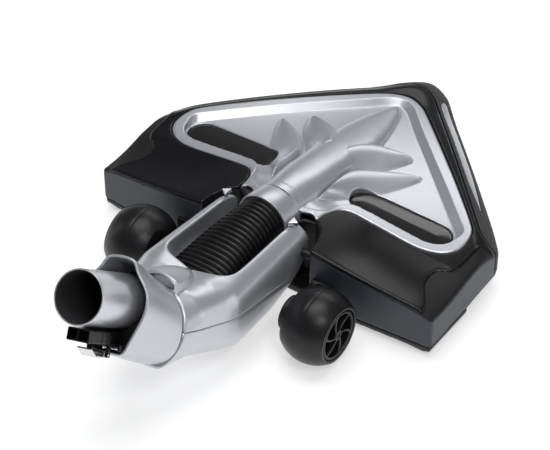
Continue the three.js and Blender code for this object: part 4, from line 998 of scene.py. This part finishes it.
MOUTH = 44.6
RIMH = [(0, -20.6), (9, -20.6), (12.6, -20.3), (14.4, -18.9), (16.2, -16.2), (17.1, -13.2), (18.4, -9.6), (21.9, -1.5), (25.4, 7.1), (26.7, 14.1), (26.6, 20.9),
        (24.8, 26.3), (21.6, 31.2), (17.8, 35.4), (15.2, 38.6), (13.6, 42), (11.6, 45), (8.6, 46.6), (4.5, 47.3), (0, 47.6)]
rim_plan = Plan(chaikin(closed(RIMH), 2), 16, 0.4)
dee_plan = Plan([dee(2 * math.pi * i / 120) for i in range(120)], 16, 0.4)


def collar_d(x, v, s):
    t = clip01(s / MOUTH)
    return mix(dee_plan(x, v), rim_plan(x, v), t + 0.25 * t * (1 - t))


def collar_field(x, y, z):
    x, v, s = xvs(x, y, z)
    d = collar_d(x, v, s)
    f = smax(smax(d, 0.9 - s, 0.9), s - MOUTH, 1.0)
    scoop = (np.sqrt((x / 12.5) ** 2 + ((v - 40.5) / 10) ** 2 + ((s - 2) / 12) ** 2) - 1) * 9
    f = smax(f, -scoop, 1.6)
    f = smax(f, -np.maximum(np.hypot(x, v) - 22.1, s - 17), 0.4)
    f = smax(f, -smax(d + 2.0, 17.2 - s, 0.5), 0.8)
    return f


COLLAR_BOX = box_of(-34, 34, -27, 49, 0, MOUTH + 1)
carve("elbow_shell", collar_field, *COLLAR_BOX, 0.6, M["silver"], "elbow", ["elbow_collar"], "silver_paint")


def insert_field(x, y, z):
    x, v, s = xvs(x, y, z)
    d = collar_d(x, v, s) + 2.45
    front = 35.4 - 0.06 * (v - 16) - 15.5 * smooth((v - 27) / 8)
    f = smax(smax(d, 17.5 - s, 0.5), s - front, 1.2)
    t = smooth((s - 18) / 12)
    way = np.hypot(x, v - mix(0, 16.2, t)) - mix(19.4, 17.8, t)
    f = smax(f, -way, 0.6)
    seat = np.maximum(np.hypot(x, v - 16.2) - 19.55, 31.7 - s)
    return smax(f, -seat, 0.4)


carve("socket_lining", insert_field, *COLLAR_BOX, 0.7, M["dark"], "elbow", ["socket_insert"], "dark_plastic")
lathe_s("wand_tube", [(18.0, 32.1), (19.2, 32.1), (19.2, 90.0), (18.95, 90.65), (18.25, 90.65), (18.0, 90.0)], 16.2, M["wand"], "elbow", ["wand_stub"],
        "wand_aluminium", 144, 0.2, at=turned)
wand = bpy.data.objects["wand_tube"]
# painted shade: the inner faces of the wand tube take the dark bore colour instead of the aluminium
wand.data.materials.append(M["bore"])
for poly in wand.data.polygons:
    X, V, S = xvs(*(np.array(poly.center) * 1000 - [0, MID, 0]))
    if math.hypot(X, V - 16.2) < 18.15 and S < 89.8:
        poly.material_index = 1


def sbox(x, v, s, x0, x1, v0, v1, s0, s1, k=0.6):
    return smax(smax(np.abs(x - (x0 + x1) / 2) - (x1 - x0) / 2, np.abs(v - (v0 + v1) / 2) - (v1 - v0) / 2, k), np.abs(s - (s0 + s1) / 2) - (s1 - s0) / 2, k)


def connector_field(x, y, z):
    x, v, s = xvs(x, y, z)
    a = np.abs(x)
    f = sbox(x, v, s, -8.75, 8.75, -13.3, -4.3, 36.3, 82.8, 1.0)
    f = smin(f, sbox(a, v, s, 6.4, 8.7, -22.2, -11.5, 51, 55, 0.8), 0.6)
    f = smin(f, sbox(x, v, s, 12.2, 14, -17, -12.4, 46.4, 49.6, 0.5), 0.3)
    f = smin(f, sbox(x, v, s, 7, 14, -13.9, -12.4, 45.6, 49.8, 0.5), 0.4)
    f = smax(f, -sbox(a, v, s, 0.8, 7.8, -12, -5.2, 69, 86, 0.6), 0.5)
    rib = np.maximum(np.abs(np.abs(s - 62) - 3.2) - 0.45, np.abs(v + 8.8) - 3.4)
    f = smax(f, -np.maximum(rib, 8.35 - a), 0.2)
    f = smax(f, -(np.hypot(v + 20.4, s - 53) - 1.1), 0.2)
    return smax(f, -np.maximum(np.hypot(v + 15.2, s - 48) - 1.1, np.abs(x - 6.6) - 6.6), 0.2)


carve("connector_shell", connector_field, *box_of(-8.9, 14.2, -22.4, -4.1, 36.1, 83), 0.38, M["black"], "elbow", ["connector_block"], "black_shell")


def latch_field(x, y, z):
    x, v, s = xvs(x, y, z)
    flat = np.hypot(v + 22.0, s - np.clip(s, 52.2, 64.6))
    bx, bv = 6.7, 4.4
    t = np.clip(((s - 64.6) * bx + (v + 22.0) * bv) / (bx * bx + bv * bv), 0, 1)
    nose = np.hypot(s - 64.6 - bx * t, v + 22.0 - bv * t)
    f = smax(np.minimum(flat, nose) - 0.8, np.abs(x) - 5.8, 0.5)
    f = smin(f, smax(np.hypot(v + 20.4, s - 53) - 2.1, np.abs(x) - 5.8, 0.4), 0.6)
    for k in range(4):
        f = smax(f, -np.maximum(np.abs(s - 57.4 - 1.9 * k) - 0.4, np.maximum(v + 22.35, np.abs(x) - 4.4)), 0.2)
    return smax(f, -(np.hypot(v + 20.4, s - 53) - 1.06), 0.2)


carve("latch_plate", latch_field, *box_of(-6, 6, -23, -16.4, 50.6, 72.4), 0.32, M["steel"], "latch", ["latch"], "silver_paint")


def rod_between(name, a, b, r, mat, body, node, slot, n=32, head=0):
    a, b = np.array(a, float), np.array(b, float)
    d = (b - a) / np.linalg.norm(b - a)
    u = np.cross(d, [0.3, 0.9, 0.1])
    u /= np.linalg.norm(u)
    w = np.cross(d, u)
    L = np.linalg.norm(b - a)
    c = min(0.35, r * 0.3)
    start = [(0, 0), (r - c, 0), (r - 0.3 * c, 0.3 * c), (r, c)] if not head else [(0, -0.9), (head - 0.3, -0.9), (head, -0.6), (head, 0.1), (head - 0.2, 0.3), (r, 0.35)]
    P, F = tri_free_lathe(start + [(r, L - c), (r - 0.3 * c, L - 0.3 * c), (r - c, L), (0, L)], n,
                          lambda q, t, s_: tuple(a + d * s_ + u * q * math.cos(t) + w * q * math.sin(t)), False)
    return fix_normals(mesh_object(name, P, F, mat, body, [node], slot, 50))


rod_between("latch_pivot", turned(-8.4, -20.4, 53), turned(8.4, -20.4, 53), 1.0, M["steel"], "elbow", "latch_axle", "steel")
rod_between("locking_pin", turned(1.2, -15.2, 48), turned(13, -15.2, 48), 1.0, M["steel"], "elbow", "lock_pin", "steel", head=1.7)
for side, s in (("right", 1), ("left", -1)):
    rod_between(f"contact_blade_{side}", turned(s * 4.3, -8.6, 69.2), turned(s * 4.3, -8.6, 74.6), 1.2, M["brass"], "elbow", f"contact_pin_{side}", "contact_brass")

# ------------------------------------------------------------------ floor, lights
def floor():
    m = material("floor_pale", (0.70, 0.70, 0.70), 0.75, rough_var=(3, 0.05))
    m.node_tree.nodes["Principled BSDF"].inputs["Emission Color"].default_value = (1, 1, 1, 1)
    m.node_tree.nodes["Principled BSDF"].inputs["Emission Strength"].default_value = 0.52
    P = [(-6, -6, 0), (6, -6, 0), (6, 6, 0), (-6, 6, 0)]
    o = mesh_object("floor", P, [[0, 1, 2, 3]], m, world=True)


floor()


def area(name, at, target, size, power, color=(1, 1, 1)):
    l = bpy.data.lights.new(name, "AREA")
    l.shape, l.size, l.size_y, l.energy, l.color = "RECTANGLE", size[0], size[1], power, color
    o = bpy.data.objects.new(name, l)
    o.location = at
    o.rotation_euler = (Vector(target) - Vector(at)).to_track_quat("-Z", "Y").to_euler()
    bpy.context.scene.collection.objects.link(o)


area("light_top", (-0.15, 0.1, 2.0), (0, 0, 0.05), (1.5, 1.2), 20)
area("light_key", (1.0, -0.8, 1.9), (0, -0.05, 0.06), (0.7, 0.6), 11)
area("light_back", (-0.5, 1.9, 1.5), (0, 0, 0.06), (1.6, 0.5), 7.5)
area("light_right", (1.8, 0.5, 0.55), (0.1, 0.1, 0.03), (0.4, 0.8), 2.6)
area("light_left", (-1.7, -0.5, 0.7), (0, -0.1, 0.05), (0.5, 1.2), 2.5)
world = bpy.data.worlds.new("studio")
bpy.context.scene.world = world
world.use_nodes = True
world.node_tree.nodes["Background"].inputs["Color"].default_value = (0.94, 0.96, 1.0, 1)
world.node_tree.nodes["Background"].inputs["Strength"].default_value = 0.20
bpy.context.scene.view_settings.view_transform = "Standard"

bpy.context.view_layer.update()
